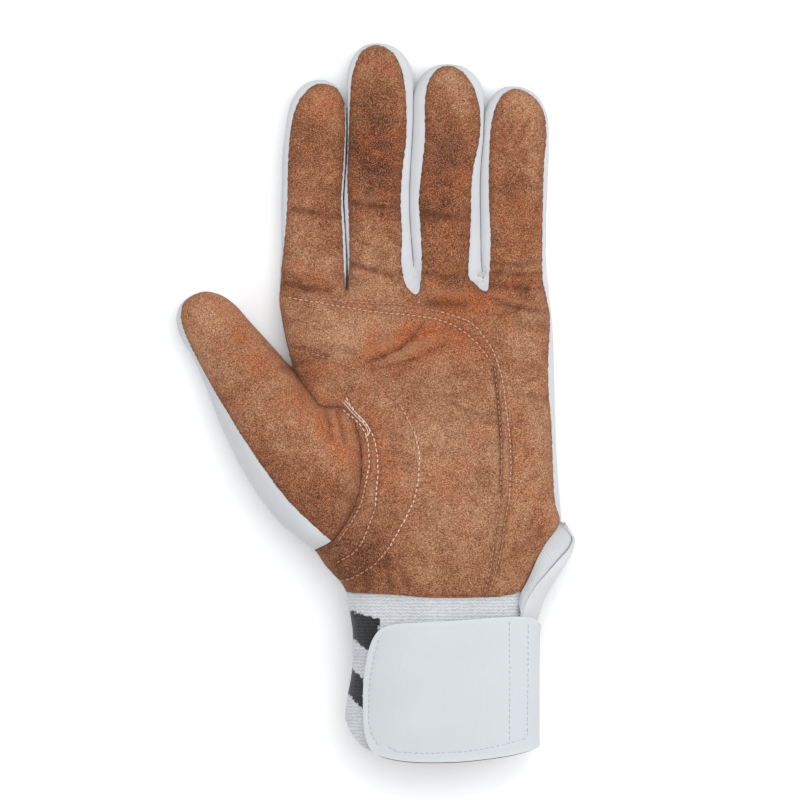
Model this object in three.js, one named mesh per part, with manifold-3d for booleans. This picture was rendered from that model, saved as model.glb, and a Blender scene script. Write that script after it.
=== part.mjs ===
// Wicketkeeping inner glove for a left hand, in millimetres.
// It lies on its back, palm up: the fingers point along +Y and the thumb lies towards -X.
// Z = 0 is the surface it rests on, and X = Y = 0 is the middle of its outline.

import * as THREE from 'three';
import { LoftGeometry } from 'three/addons/geometries/LoftGeometry.js';
import { mergeVertices } from 'three/addons/utils/BufferGeometryUtils.js';
import Module from 'manifold-3d';

const wasm = await Module();
wasm.setup();

// Cloth and leather
const WALL = 1.6;
const PATCH_THICKNESS = 1.1;
const STRAP_THICKNESS = 1.6;
const BACKING_THICKNESS = 1.0;
const FLAP_THICKNESS = 1.5;
const FLAP_BULGE = 2;
const FLAP_STEPS = 5;
const GAP = 0.3;

// Finish of each kind of material
const SUEDE = { color: 0xb06c49, roughness: 0.95, metalness: 0 };
const SUEDE_PATCH = { color: 0xb5714d, roughness: 0.95, metalness: 0 };
const WHITE_CLOTH = { color: 0xe4e8ee, roughness: 0.8, metalness: 0 };
const KNIT = { color: 0xdde2e8, roughness: 0.9, metalness: 0 };
const STRAP_CLOTH = { color: 0xeff2f6, roughness: 0.6, metalness: 0 };
const DARK_RED = { color: 0x6e2b31, roughness: 0.8, metalness: 0 };

// How finely the closed sections are drawn
const PALM_SIDES = 30;
const FINGER_SIDES = 12;
const THUMB_SIDES = 14;
const TIP_ANGLES = [32, 56, 77].map(THREE.MathUtils.degToRad);
const SEAM_STEPS = 24;
const THUMB_SEAM_STEPS = 10;
const STEPS_PER_POINT = 2;
const WELD = 1e-4;

// Main heights and lengths
const CROTCH_Y = 40;
const OPENING_RUN = 12;
const FINGER_ROOT = 13;
const TIP_LENGTH = 13;
const THUMB_TIP_LENGTH = 17;
const THUMB_TIP_LEAN = 1.4;
const THUMB_TIP_BLUNTNESS = 0.75;
const FINGER_TOP = 17.3;
const FINGER_BOTTOM = -0.7;
const FINGER_POWER = 2.3;
const TIP_ROUNDNESS = 0.7;
const BACK_SEAM = 4;
const FOURCHETTE_BELOW_CROTCH = 6;
const FOURCHETTE_BELOW_TIP = 9;
const PATCH_ABOVE_SEAM = 1.5;
const FAR = 160;

// Sections of hand and cuff, from the wrist to the finger crotches
const HAND = table(
  ['y', 'left', 'right', 'top', 'bottom', 'floor', 'power', 'seam'],
  [
    [-129.6, -11.0, 55.7, 37.5, 3.0, 3.6, 2.3, 20],
    [-114.0, -11.6, 55.6, 38.0, 2.6, 3.6, 2.3, 20],
    [-96.0, -8.9, 55.6, 37.5, 2.6, 3.6, 2.3, 20],
    [-82.0, -8.6, 55.9, 36.5, 2.4, 3.6, 2.4, 20],
    [-72.5, -10.2, 56.6, 35.0, 1.6, 3.5, 2.5, 20],
    [-66.0, -11.9, 58.2, 34.2, 0.2, 1.8, 2.6, 20],
    [-60.0, -17.4, 61.0, 33.4, -1.0, 0.0, 2.6, 20],
    [-52.0, -22.4, 64.1, 32.5, -1.6, 0.0, 2.6, 20],
    [-43.0, -23.0, 66.0, 31.5, -1.6, 0.0, 2.7, 20],
    [-28.0, -25.2, 65.2, 30.5, -1.6, 0.0, 2.7, 19],
    [-10.0, -28.0, 64.3, 29.5, -1.6, 0.0, 2.7, 18],
    [8.0, -31.0, 63.9, 27.5, -1.6, 0.0, 2.7, 17],
    [21.0, -33.2, 63.6, 24.0, -1.6, 0.0, 2.8, 15],
    [32.0, -34.8, 63.0, 19.6, -1.2, 0.0, 2.9, 13],
    [40.0, -35.2, 61.8, 16.0, -0.8, 0.0, 3.0, 12.5],
  ],
);

// Fingers: middle line at root and tip, half widths there, and how far the tip reaches
const FINGERS = table(
  ['name', 'rootX', 'tipX', 'rootHalf', 'tipHalf', 'tipY'],
  [
    ['index', -23.1, -21.4, 11.9, 10.9, 116.3],
    ['middle', 0.9, 0.2, 11.7, 11.9, 129.6],
    ['ring', 25.2, 26.1, 12.0, 12.4, 122.0],
    ['little', 50.0, 50.2, 11.8, 11.3, 112.7],
  ],
);

// How a finger swells between its creases, as shares of its length, width and height
const FINGER_FORM = table(
  ['along', 'width', 'height'],
  [
    [0.06, 0.98, 0.89],
    [0.16, 1.0, 1.0],
    [0.46, 0.98, 0.95],
    [0.6, 1.0, 1.0],
    [1.0, 0.98, 0.93],
  ],
);

// Thumb, from its root inside the hand to the start of its tip: middle line, reach to either side, heights
const THUMB = table(
  ['x', 'y', 'left', 'right', 'top', 'bottom', 'power', 'slope'],
  [
    [-14.9, -45.0, 10.6, 8.0, 30.5, 4.0, 2.8, 1.2],
    [-21.1, -34.9, 16.4, 18.5, 33.0, 1.5, 2.9, 1.6],
    [-27.5, -24.1, 18.5, 24.0, 33.5, 0.0, 2.9, 1.6],
    [-34.7, -11.5, 19.2, 21.0, 31.5, -0.8, 2.7, 1.25],
    [-42.7, 1.1, 17.2, 17.0, 28.0, -1.2, 2.5, 0.85],
    [-50.2, 13.7, 14.8, 14.2, 24.5, -1.2, 2.4, 0.7],
    [-56.9, 24.2, 12.4, 12.0, 22.0, -1.0, 2.3, 0.6],
  ],
);
const THUMB_ACROSS = new THREE.Vector2(0.845, 0.535);
const THUMB_ALONG = new THREE.Vector2(-0.535, 0.845);
const THUMB_LOWEST_SEAM = 6;
const THUMB_REACH = { side: 40, root: 30, tip: 40 };

// Hollow of the palm
const DENT = { x: 20, y: -10, depth: 4, halfX: 26, halfY: 36 };

// Seam lines seen from above, as points of smooth curves
const POINT = ['x', 'y'];
const THUMB_SEAM = table(POINT, [
  [-40.1, 47.9],
  [-37.4, 29.9],
  [-33.9, 17.3],
  [-31.1, 13.3],
  [-26.8, 6.5],
  [-20.6, 1.1],
  [-13.6, -0.9],
  [-8.8, -5.0],
  [-6.3, -11.9],
  [-5.2, -20.5],
  [-5.6, -31.3],
  [-7.7, -38.9],
  [-12.4, -46.8],
  [-16.4, -50.4],
  [-21.8, -52.6],
]);
const HEEL_SEAM = table(POINT, [
  [-30.0, -66.5],
  [-11.3, -68.0],
  [8.5, -68.8],
  [19.3, -70.2],
  [39.8, -69.8],
  [49.1, -68.8],
  [53.0, -67.6],
  [75.0, -67.6],
]);
const GUSSET_EDGE = table(POINT, [
  [50.6, -72.0],
  [52.7, -67.6],
  [55.3, -62.6],
  [60.7, -51.8],
  [66.4, -44.3],
  [74.0, -40.0],
]);
const CUFF_END = table(POINT, [
  [-14.0, -110.0],
  [-11.5, -113.5],
  [-8.6, -119.5],
  [-4.5, -124.2],
  [4.5, -127.6],
  [19.3, -128.9],
  [36.0, -128.4],
  [50.0, -126.2],
  [62.0, -121.4],
]);
const PATCH_EDGE = table(POINT, [
  [-38.0, 36.5],
  [-16.7, 36.0],
  [-3.4, 34.2],
  [15.7, 32.4],
  [26.5, 29.9],
  [33.0, 26.6],
  [38.7, 20.9],
  [42.7, 14.8],
  [44.8, 6.5],
  [46.3, -6.1],
  [46.6, -20.5],
  [45.9, -34.9],
  [44.1, -47.5],
  [41.9, -60.1],
  [39.6, -67.6],
]);
const ARC_EDGE = table(POINT, [
  [-31.5, 19.4],
  [-17.8, 16.2],
  [-4.1, 10.1],
  [8.8, -1.1],
  [13.9, -11.2],
  [15.3, -19.8],
  [13.5, -34.6],
  [8.1, -45.7],
  [1.6, -55.4],
  [-8.5, -61.2],
  [-15.7, -63.7],
]);
const STRAP_FRONT = table(POINT, [
  [80.0, -79.0],
  [58.9, -78.4],
  [50.0, -76.4],
  [24.5, -77.9],
  [8.6, -78.8],
  [0.9, -81.3],
  [-3.2, -90.3],
  [-4.8, -103.0],
  [-4.5, -115.8],
  [-1.6, -124.7],
  [8.6, -128.1],
  [23.0, -128.9],
  [46.3, -126.7],
  [58.9, -123.3],
  [80.0, -122.0],
]);
const STRAP_BACK = table(POINT, [
  [80.0, -79.0],
  [58.9, -78.4],
  [50.0, -76.4],
  [24.5, -77.9],
  [6.0, -79.0],
  [6.0, -127.6],
  [23.0, -128.9],
  [46.3, -126.7],
  [58.9, -123.3],
  [80.0, -122.0],
]);

// Corners far outside the glove that close a seam line into an area
const THUMB_CORNERS = table(POINT, [
  [-27.5, -55.5],
  [-FAR, -55.5],
  [-FAR, 60.0],
  [-42.0, 60.0],
]);
const WRIST_CORNERS = table(POINT, [
  [FAR, -67.6],
  [FAR, -FAR],
  [-FAR, -FAR],
  [-FAR, -66.5],
]);
const PAST_CUFF_CORNERS = table(POINT, [
  [FAR, -121.4],
  [FAR, -FAR],
  [-FAR, -FAR],
  [-FAR, -110.0],
]);
const GUSSET_CORNERS = table(POINT, [
  [FAR, -40.0],
  [FAR, -72.0],
]);
const PATCH_CORNERS = table(POINT, [
  [-12.0, -66.6],
  [-FAR, -66.6],
  [-FAR, 36.5],
]);
const ARC_CORNERS = table(POINT, [
  [-FAR, -63.7],
  [-FAR, 19.4],
]);

// The strap's front and back part at this height, and its backing sits lower and inside its edge
const STRAP_MIDDLE_Z = 20;
const BACKING_DROP = 2.2;
const BACKING_INSET = 1.5;

// Side flap: its two long edges seen from above, with their heights
const FLAP = table(
  ['innerX', 'innerY', 'innerZ', 'outerX', 'outerY', 'outerZ', 'footZ'],
  [
    [69.2, -46.4, 24.0, 70.6, -48.4, 20.0, 12.0],
    [67.1, -53.6, 27.6, 69.4, -54.2, 20.5, 10.5],
    [62.4, -60.0, 31.6, 66.6, -60.4, 21.5, 10.5],
    [57.8, -65.6, 33.4, 63.8, -65.8, 22.0, 11.5],
    [54.6, -70.0, 34.4, 61.4, -70.2, 22.0, 12.5],
    [52.6, -74.4, 35.2, 60.2, -74.4, 22.0, 14.0],
  ],
);

function table(columns, rows) {
  return rows.map((row) => Object.fromEntries(columns.map((name, index) => [name, row[index]])));
}

// Straight-line reading of a table by one rising column
function read(rows, key, at, name) {
  const last = rows.length - 2;
  const found = rows.findIndex((row, index) => index > 0 && at <= row[key]);
  const index = found < 0 ? last : found - 1;
  const from = rows[index];
  const to = rows[index + 1];
  const share = THREE.MathUtils.clamp((at - from[key]) / (to[key] - from[key]), 0, 1);
  return THREE.MathUtils.lerp(from[name], to[name], share);
}

function powered(value, power) {
  return Math.sign(value) * Math.abs(value) ** (2 / power);
}

// Points of one closed section, the place of each given by its sideways and upward share
function section(sides, power, place) {
  const points = [];
  for (let side = 0; side < sides; side += 1) {
    const angle = ((side + 0.5) / sides) * 2 * Math.PI;
    points.push(place(powered(-Math.cos(angle), power), powered(Math.sin(angle), power)));
  }
  return points;
}

function solid(geometry) {
  const bare = new THREE.BufferGeometry();
  bare.setAttribute('position', geometry.attributes.position);
  bare.setIndex(geometry.index);
  const merged = mergeVertices(bare, WELD);
  return new wasm.Manifold(
    new wasm.Mesh({
      numProp: 3,
      vertProperties: new Float32Array(merged.attributes.position.array),
      triVerts: new Uint32Array(merged.index.array),
    }),
  );
}

function loft(sections) {
  return solid(new LoftGeometry(sections, { capStart: true, capEnd: true }));
}

// Hand and cuff, grown outwards by a distance, or shrunk where it is negative
function handBody(grow) {
  const sections = HAND.map((row, index) => {
    const half = (row.right - row.left) / 2 + grow;
    const rise = (row.top - row.bottom) / 2 + grow;
    const middleX = (row.right + row.left) / 2;
    const middleZ = (row.top + row.bottom) / 2;
    const isLast = index === HAND.length - 1;
    const endShift = index === 0 ? -OPENING_RUN : 0;
    const y = row.y + (isLast ? grow : 0) + endShift;
    return section(PALM_SIDES, row.power, (across, up) => {
      const x = middleX + half * across;
      const dented = middleZ + rise * up - palmDent(x, row.y) * Math.max(up, 0);
      return new THREE.Vector3(x, y, Math.max(dented, row.floor - grow));
    });
  });
  return loft(sections);
}

function palmDent(x, y) {
  const offsetX = (x - DENT.x) / DENT.halfX;
  const offsetY = (y - DENT.y) / DENT.halfY;
  return DENT.depth * Math.exp(-(offsetX ** 2) - offsetY ** 2);
}

function fingerSection(grow, at) {
  const middleZ = (FINGER_TOP + FINGER_BOTTOM) / 2;
  const rise = (FINGER_TOP - FINGER_BOTTOM) / 2;
  return section(FINGER_SIDES, FINGER_POWER, (across, up) => {
    const height = up > 0 ? at.height : Math.min(at.height, 1);
    const x = at.x + (at.half + grow * at.shrink) * across;
    const z = middleZ + (rise * height + grow * at.shrink) * up;
    return new THREE.Vector3(x, at.y, Math.max(z, -grow));
  });
}

function fingerBody(finger, grow) {
  const shoulderY = finger.tipY - TIP_LENGTH;
  const length = shoulderY - CROTCH_Y;
  const lineAt = (along) => ({
    x: THREE.MathUtils.lerp(finger.rootX, finger.tipX, along),
    half: THREE.MathUtils.lerp(finger.rootHalf, finger.tipHalf, along),
  });
  const rootShape = FINGER_FORM[0];
  const root = { ...lineAt(0), y: CROTCH_Y - FINGER_ROOT, height: rootShape.height, shrink: 1 };
  root.half *= rootShape.width;
  const shaft = FINGER_FORM.map((form) => {
    const line = lineAt(form.along);
    const y = CROTCH_Y + form.along * length;
    return { x: line.x, half: line.half * form.width, y, height: form.height, shrink: 1 };
  });
  const shoulder = shaft[shaft.length - 1];
  const tip = TIP_ANGLES.map((angle) => {
    const scale = Math.cos(angle);
    const y = shoulderY + (TIP_LENGTH + grow) * Math.sin(angle);
    const height = shoulder.height * scale ** TIP_ROUNDNESS;
    return { x: finger.tipX, half: shoulder.half * scale, y, height, shrink: scale };
  });
  return loft([root, ...shaft, ...tip].map((at) => fingerSection(grow, at)));
}

function thumbSection(row, grow, reach, scale, lean) {
  const middleZ = (row.top + row.bottom) / 2;
  const rise = (row.top - row.bottom) / 2;
  return section(THUMB_SIDES, row.power, (across, up) => {
    const side = ((across > 0 ? row.right : row.left) + grow) * scale * across - lean;
    const x = row.x + THUMB_ALONG.x * reach + THUMB_ACROSS.x * side;
    const y = row.y + THUMB_ALONG.y * reach + THUMB_ACROSS.y * side;
    const z = middleZ + (rise + grow) * scale ** TIP_ROUNDNESS * up;
    return new THREE.Vector3(x, y, Math.max(z, -grow));
  });
}

function thumbBody(grow) {
  const shaft = THUMB.map((row) => thumbSection(row, grow, 0, 1, 0));
  const shoulder = THUMB[THUMB.length - 1];
  const tip = TIP_ANGLES.map((angle) => {
    const reach = (THUMB_TIP_LENGTH + grow) * Math.sin(angle);
    const scale = Math.cos(angle) ** THUMB_TIP_BLUNTNESS;
    return thumbSection(shoulder, grow, reach, scale, THUMB_TIP_LEAN * Math.sin(angle));
  });
  return loft([...shaft, ...tip]);
}

// The whole filled glove, grown by a distance
function gloveBody(grow) {
  const parts = [...FINGERS.map((finger) => fingerBody(finger, grow)), thumbBody(grow)];
  return parts.reduce((whole, part) => whole.add(part), handBody(grow));
}

function vectors(rows) {
  return rows.map((row) => new THREE.Vector2(row.x, row.y));
}

function smooth(rows) {
  return new THREE.SplineCurve(vectors(rows)).getPoints(STEPS_PER_POINT * (rows.length - 1));
}

// A smooth seam line closed by corners far outside the glove
function closed(seam, corners) {
  return [...smooth(seam), ...vectors(corners)];
}

// Outline moved outwards by a distance, corner by corner
function grown(points, distance) {
  const turn = THREE.ShapeUtils.isClockWise(points) ? -1 : 1;
  return points.map((point, index) => {
    const before = points[(index + points.length - 1) % points.length];
    const after = points[(index + 1) % points.length];
    const along = after.clone().sub(before).normalize();
    return new THREE.Vector2(point.x + along.y * distance * turn, point.y - along.x * distance * turn);
  });
}

function prism(points, low, high) {
  const options = { depth: high - low, bevelEnabled: false };
  const geometry = new THREE.ExtrudeGeometry(new THREE.Shape(points), options);
  geometry.translate(0, 0, low);
  return solid(geometry);
}

function column(points, distance) {
  return prism(grown(points, distance), -FAR, FAR);
}

function rectangle(left, right, bottom, top) {
  return [
    new THREE.Vector2(left, bottom),
    new THREE.Vector2(right, bottom),
    new THREE.Vector2(right, top),
    new THREE.Vector2(left, top),
  ];
}

// Everything above the seam between palm side and back, whose height changes along the hand
function aboveHandSeam(shift) {
  const geometry = new THREE.BoxGeometry(2 * FAR, 2 * FAR, 1, 1, SEAM_STEPS, 1);
  const place = geometry.attributes.position;
  for (let index = 0; index < place.count; index += 1) {
    const seam = read(HAND, 'y', place.getY(index), 'seam') + shift;
    place.setZ(index, place.getZ(index) > 0 ? FAR : seam);
  }
  return solid(geometry);
}

// The thumb's seam climbs on its outer side, because the thumb is turned on its axis
function aboveThumbSeam(shift) {
  const rows = [
    { ...THUMB[0], beyond: -THUMB_REACH.root },
    ...THUMB.map((row) => ({ ...row, beyond: 0 })),
    { ...THUMB[THUMB.length - 1], beyond: THUMB_REACH.tip },
  ];
  const stepsAlong = rows.length - 1;
  const geometry = new THREE.BoxGeometry(2 * THUMB_REACH.side, 1, 1, THUMB_SEAM_STEPS, stepsAlong, 1);
  const place = geometry.attributes.position;
  for (let index = 0; index < place.count; index += 1) {
    const side = place.getX(index);
    const row = rows[Math.round((place.getY(index) + 0.5) * stepsAlong)];
    const middleZ = (row.top + row.bottom) / 2;
    const seam = Math.max(middleZ - side * row.slope, THUMB_LOWEST_SEAM) + shift;
    const x = row.x + THUMB_ALONG.x * row.beyond + THUMB_ACROSS.x * side;
    const y = row.y + THUMB_ALONG.y * row.beyond + THUMB_ACROSS.y * side;
    place.setXYZ(index, x, y, place.getZ(index) > 0 ? FAR : seam);
  }
  return solid(geometry);
}

const THUMB_OUTLINE = closed(THUMB_SEAM, THUMB_CORNERS);
const WRIST_OUTLINE = closed(HEEL_SEAM, WRIST_CORNERS);
const PAST_CUFF_OUTLINE = closed(CUFF_END, PAST_CUFF_CORNERS);
const GUSSET_OUTLINE = closed(GUSSET_EDGE, GUSSET_CORNERS);
const PATCH_OUTLINE = closed(PATCH_EDGE, PATCH_CORNERS);
const ARC_OUTLINE = closed(ARC_EDGE, ARC_CORNERS);

// A sheet of the given thickness lying a distance off the glove
function overlay(distance, thickness) {
  return gloveBody(distance + thickness).subtract(gloveBody(distance));
}

const shell = overlay(-WALL, WALL);
const palmSide = shell.intersect(aboveHandSeam(GAP / 2));
const backSide = shell.subtract(aboveHandSeam(-GAP / 2));
const aroundThumb = column(THUMB_OUTLINE, GAP / 2);
const aroundWrist = column(WRIST_OUTLINE, GAP / 2);

function palmPanel() {
  return palmSide.subtract(aroundThumb).subtract(aroundWrist).subtract(column(GUSSET_OUTLINE, GAP / 2));
}

// The room of the strip between two neighbouring fingers
function fourchetteSpace(index, margin) {
  const first = FINGERS[index];
  const second = FINGERS[index + 1];
  const top = Math.min(first.tipY, second.tipY) - FOURCHETTE_BELOW_TIP;
  const bounds = rectangle(first.rootX, second.rootX, CROTCH_Y - FOURCHETTE_BELOW_CROTCH, top);
  return prism(grown(bounds, margin), BACK_SEAM - margin, FAR);
}

function fourchette(index) {
  return backSide.intersect(fourchetteSpace(index, -GAP / 2));
}

function backPanel() {
  const between = [0, 1, 2].map((index) => fourchetteSpace(index, GAP / 2));
  const plain = backSide.subtract(aroundThumb).subtract(aroundWrist);
  return between.reduce((panel, space) => panel.subtract(space), plain);
}

function cuff() {
  return shell.intersect(column(WRIST_OUTLINE, -GAP / 2)).subtract(column(PAST_CUFF_OUTLINE, 0));
}

function sideGusset() {
  return palmSide.intersect(column(GUSSET_OUTLINE, -GAP / 2)).subtract(aroundWrist);
}

// A suede piece laid on the palm inside an outline, over the given number of layers
function suedeOverlay(outline, layers) {
  const distance = GAP + layers * (PATCH_THICKNESS + GAP);
  const sheet = overlay(distance, PATCH_THICKNESS).intersect(aboveHandSeam(PATCH_ABOVE_SEAM * (layers + 1)));
  return sheet.intersect(column(outline, 0)).subtract(column(THUMB_OUTLINE, GAP * (layers + 1)));
}

// The strap comes from the back of the wrist, round the little-finger side and over the front
function strapLayer(distance, thickness, drop, inset) {
  const moved = (rows) => vectors(rows).map((point) => new THREE.Vector2(point.x, point.y - drop));
  const front = prism(grown(moved(STRAP_FRONT), -inset), STRAP_MIDDLE_Z, FAR);
  const back = prism(grown(moved(STRAP_BACK), -inset), -FAR, STRAP_MIDDLE_Z);
  return overlay(distance, thickness).intersect(front.add(back));
}

// A lip of cloth that stands off the side of the wrist, from its seam out and down to its foot
function sideFlap() {
  const stepsAlong = FLAP.length - 1;
  const geometry = new THREE.BoxGeometry(1, 1, 1, FLAP_STEPS, stepsAlong, 1);
  const place = geometry.attributes.position;
  for (let index = 0; index < place.count; index += 1) {
    const row = FLAP[Math.round((0.5 - place.getY(index)) * stepsAlong)];
    const inner = new THREE.Vector3(row.innerX, row.innerY, row.innerZ);
    const edge = new THREE.Vector3(row.outerX + FLAP_BULGE, row.outerY, row.outerZ + FLAP_BULGE);
    const foot = new THREE.Vector3(row.outerX, row.outerY, row.footZ);
    const path = new THREE.QuadraticBezierCurve3(inner, edge, foot);
    const across = place.getX(index) + 0.5;
    const point = path.getPoint(across);
    const inwards = new THREE.Vector3(-across, 0, across - 1).normalize();
    if (place.getZ(index) < 0) point.addScaledVector(inwards, FLAP_THICKNESS);
    place.setXYZ(index, point.x, point.y, point.z);
  }
  return solid(geometry);
}

// The largest body of a cut piece, without the crumbs that a cut can leave along a curve
function main(piece) {
  return piece.decompose().reduce((best, body) => (body.volume() > best.volume() ? body : best));
}

function mesh(name, piece, finish) {
  const { vertProperties, triVerts, numProp } = main(piece).getMesh();
  const geometry = new THREE.BufferGeometry();
  const positions = new Float32Array((vertProperties.length / numProp) * 3);
  for (let index = 0; index < positions.length / 3; index += 1) {
    positions.set(vertProperties.subarray(index * numProp, index * numProp + 3), index * 3);
  }
  geometry.setAttribute('position', new THREE.BufferAttribute(positions, 3));
  geometry.setIndex(new THREE.BufferAttribute(new Uint32Array(triVerts), 1));
  geometry.computeVertexNormals();
  const made = new THREE.Mesh(geometry, new THREE.MeshStandardMaterial(finish));
  made.name = name;
  return made;
}

const thumb = shell.intersect(column(THUMB_OUTLINE, -GAP / 2));
const strapDistance = 2 * GAP + BACKING_THICKNESS;
const glove = new THREE.Group();
glove.add(
  mesh('palm_panel', palmPanel(), SUEDE),
  mesh('palm_patch', suedeOverlay(PATCH_OUTLINE, 0), SUEDE_PATCH),
  mesh('thumb_patch', suedeOverlay(ARC_OUTLINE, 1), SUEDE_PATCH),
  mesh('thumb_front', thumb.intersect(aboveThumbSeam(GAP / 2)), SUEDE),
  mesh('thumb_back', thumb.subtract(aboveThumbSeam(-GAP / 2)), WHITE_CLOTH),
  mesh('back_panel', backPanel(), WHITE_CLOTH),
  mesh('fourchette_index_middle', fourchette(0), WHITE_CLOTH),
  mesh('fourchette_middle_ring', fourchette(1), WHITE_CLOTH),
  mesh('fourchette_ring_little', fourchette(2), WHITE_CLOTH),
  mesh('cuff', cuff(), KNIT),
  mesh('side_gusset', sideGusset(), KNIT),
  mesh('side_flap', sideFlap(), STRAP_CLOTH),
  mesh('wrist_strap', strapLayer(strapDistance, STRAP_THICKNESS, 0, 0), STRAP_CLOTH),
  mesh('strap_backing', strapLayer(GAP, BACKING_THICKNESS, BACKING_DROP, BACKING_INSET), DARK_RED),
);

export default glove;
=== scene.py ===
"""Looks of a left-hand wicketkeeping inner glove that lies on its back, palm up.

Fingers point along +Y and the thumb lies towards -X. Tables and working arrays are in millimetres, and
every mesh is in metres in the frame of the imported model. The hand, fingers and thumb are lofted, joined
into one skin, given their folds, and cut along the seam lines into the panels that the glove is sewn from.
"""

import logging
import math
import random
from collections.abc import Callable, Sequence
from dataclasses import dataclass, field
from enum import Enum

import bmesh
import bpy
import numpy as np
from mathutils import Matrix, Vector, noise
from mathutils.bvhtree import BVHTree


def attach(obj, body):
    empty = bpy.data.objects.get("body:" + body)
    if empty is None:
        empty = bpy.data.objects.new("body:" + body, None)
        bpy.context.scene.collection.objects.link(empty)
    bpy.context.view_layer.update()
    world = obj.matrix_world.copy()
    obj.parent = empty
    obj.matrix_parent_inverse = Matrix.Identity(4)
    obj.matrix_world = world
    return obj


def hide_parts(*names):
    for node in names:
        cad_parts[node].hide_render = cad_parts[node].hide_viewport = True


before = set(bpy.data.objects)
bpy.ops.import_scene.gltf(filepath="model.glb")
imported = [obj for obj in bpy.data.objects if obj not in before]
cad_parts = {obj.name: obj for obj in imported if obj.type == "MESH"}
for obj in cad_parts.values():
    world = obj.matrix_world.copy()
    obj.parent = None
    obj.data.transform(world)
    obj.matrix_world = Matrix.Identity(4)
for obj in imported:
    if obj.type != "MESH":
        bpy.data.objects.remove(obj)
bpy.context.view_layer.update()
BODY = "root"
MM = 0.001
FAR = 160.0
log = logging.getLogger("glove")

Array = np.ndarray
Measure = Callable[[Array], Array]
Table = dict[str, Array]
Line = Sequence[Sequence[float]]
Place = Callable[[Array, Array], Array]
Colour = tuple[float, float, float]
Socket = bpy.types.NodeSocket

# TINY keeps a division from failing, WELD is how near corners of a grid join, in metres, and a new grid
# reaches GRID_HALF from its middle
TINY = 1e-12
WELD = 1e-6
GRID_HALF = 0.5


def table(names: str, rows: Line) -> Table:
    """Columns of a short table by name."""
    return dict(zip(names.split(), np.array(rows, float).T))


HAND = table(
    "y left right top bottom floor power seam",
    [
        (-129.6, -11.2, 55.7, 37.5, 3.0, 3.6, 2.3, 20),
        (-114.0, -11.6, 55.6, 38.0, 2.6, 3.6, 2.3, 20),
        (-107.0, -11.0, 55.6, 37.8, 2.6, 3.6, 2.3, 20),
        (-96.0, -8.9, 55.6, 37.5, 2.6, 3.6, 2.3, 20),
        (-82.0, -8.6, 55.9, 36.5, 2.4, 3.6, 2.4, 20),
        (-72.5, -10.2, 56.6, 35.0, 1.6, 3.5, 2.5, 20),
        (-67.3, -10.7, 57.7, 34.4, 0.8, 2.4, 2.6, 20),
        (-63.7, -13.6, 59.3, 33.9, 0.0, 1.2, 2.6, 20),
        (-60.0, -16.6, 61.0, 33.4, -1.0, 0.0, 2.6, 20),
        (-56.5, -19.4, 62.6, 33.0, -1.3, 0.0, 2.6, 20),
        (-50.0, -22.2, 64.5, 32.3, -1.6, 0.0, 2.6, 20),
        (-43.0, -24.0, 66.6, 31.5, -1.6, 0.0, 2.7, 20),
        (-28.0, -24.0, 65.2, 30.5, -1.6, 0.0, 2.7, 19),
        (-10.0, -25.0, 64.3, 29.5, -1.6, 0.0, 2.7, 18),
        (8.0, -27.9, 63.9, 27.5, -1.6, 0.0, 2.7, 17),
        (21.0, -32.0, 63.6, 24.0, -1.6, 0.0, 2.8, 15),
        (32.0, -34.3, 63.0, 19.6, -1.2, 0.0, 2.9, 12),
        (40.0, -34.7, 61.8, 16.0, -0.8, 0.0, 3.0, 9.5),
        (48.0, -35.2, 61.8, 16.0, -0.8, 0.0, 3.0, 9.0),
    ],
)

# Where each finger ends against its neighbour, from the crotches to the tips
FINGER_EDGES = table(
    "y outer_left index_middle middle_ring ring_little outer_right",
    [
        (24.0, -32.4, -11.0, 13.5, 38.6, 63.4),
        (36.0, -34.9, -10.8, 13.5, 38.5, 62.6),
        (44.0, -35.1, -10.6, 13.6, 38.2, 61.4),
        (51.5, -34.4, -10.6, 13.2, 37.7, 61.0),
        (58.7, -34.3, -11.0, 12.5, 37.5, 61.0),
        (66.0, -34.2, -11.4, 12.0, 37.4, 61.0),
        (73.0, -34.3, -11.9, 11.8, 37.3, 61.4),
        (80.0, -34.0, -11.4, 12.0, 37.3, 61.5),
        (87.5, -34.0, -10.9, 12.4, 37.7, 62.0),
        (94.7, -33.3, -10.6, 12.9, 38.5, 62.1),
        (102.0, -32.3, -10.6, 13.2, 38.7, 62.1),
        (130.0, -32.0, -10.6, 13.3, 38.7, 62.0),
    ],
)
FINGER_TIPS = table(
    "x y shoulder",
    [(-19.9, 116.3, 99.0), (-0.2, 129.6, 112.0), (25.7, 122.0, 106.0), (49.0, 114.0, 98.0)],
)
FINGER_FORM = table(
    "along height",
    [
        (0.0, 0.93), (0.07, 0.94), (0.17, 1.0), (0.36, 0.99), (0.46, 0.96), (0.58, 1.0), (0.85, 1.0),
        (1.0, 0.96),
    ],
)
THUMB = table(
    "x y left right top bottom power",
    [
        (-12.3, -49.2, 9.6, 4.0, 29.0, 4.5, 2.8),
        (-14.9, -45.0, 11.4, 8.0, 30.5, 4.0, 2.8),
        (-21.1, -34.9, 16.0, 18.5, 33.0, 1.5, 2.9),
        (-27.5, -24.1, 17.6, 24.0, 33.5, 0.0, 2.9),
        (-34.7, -11.5, 18.0, 21.0, 31.5, -0.8, 2.7),
        (-42.7, 1.1, 16.0, 17.0, 28.0, -1.2, 2.5),
        (-50.2, 13.7, 13.4, 14.2, 24.5, -1.2, 2.4),
        (-56.9, 24.2, 11.7, 12.0, 22.0, -1.0, 2.3),
    ],
)
THUMB_ACROSS = np.array((0.845, 0.535))
THUMB_ALONG = np.array((-0.535, 0.845))

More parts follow.
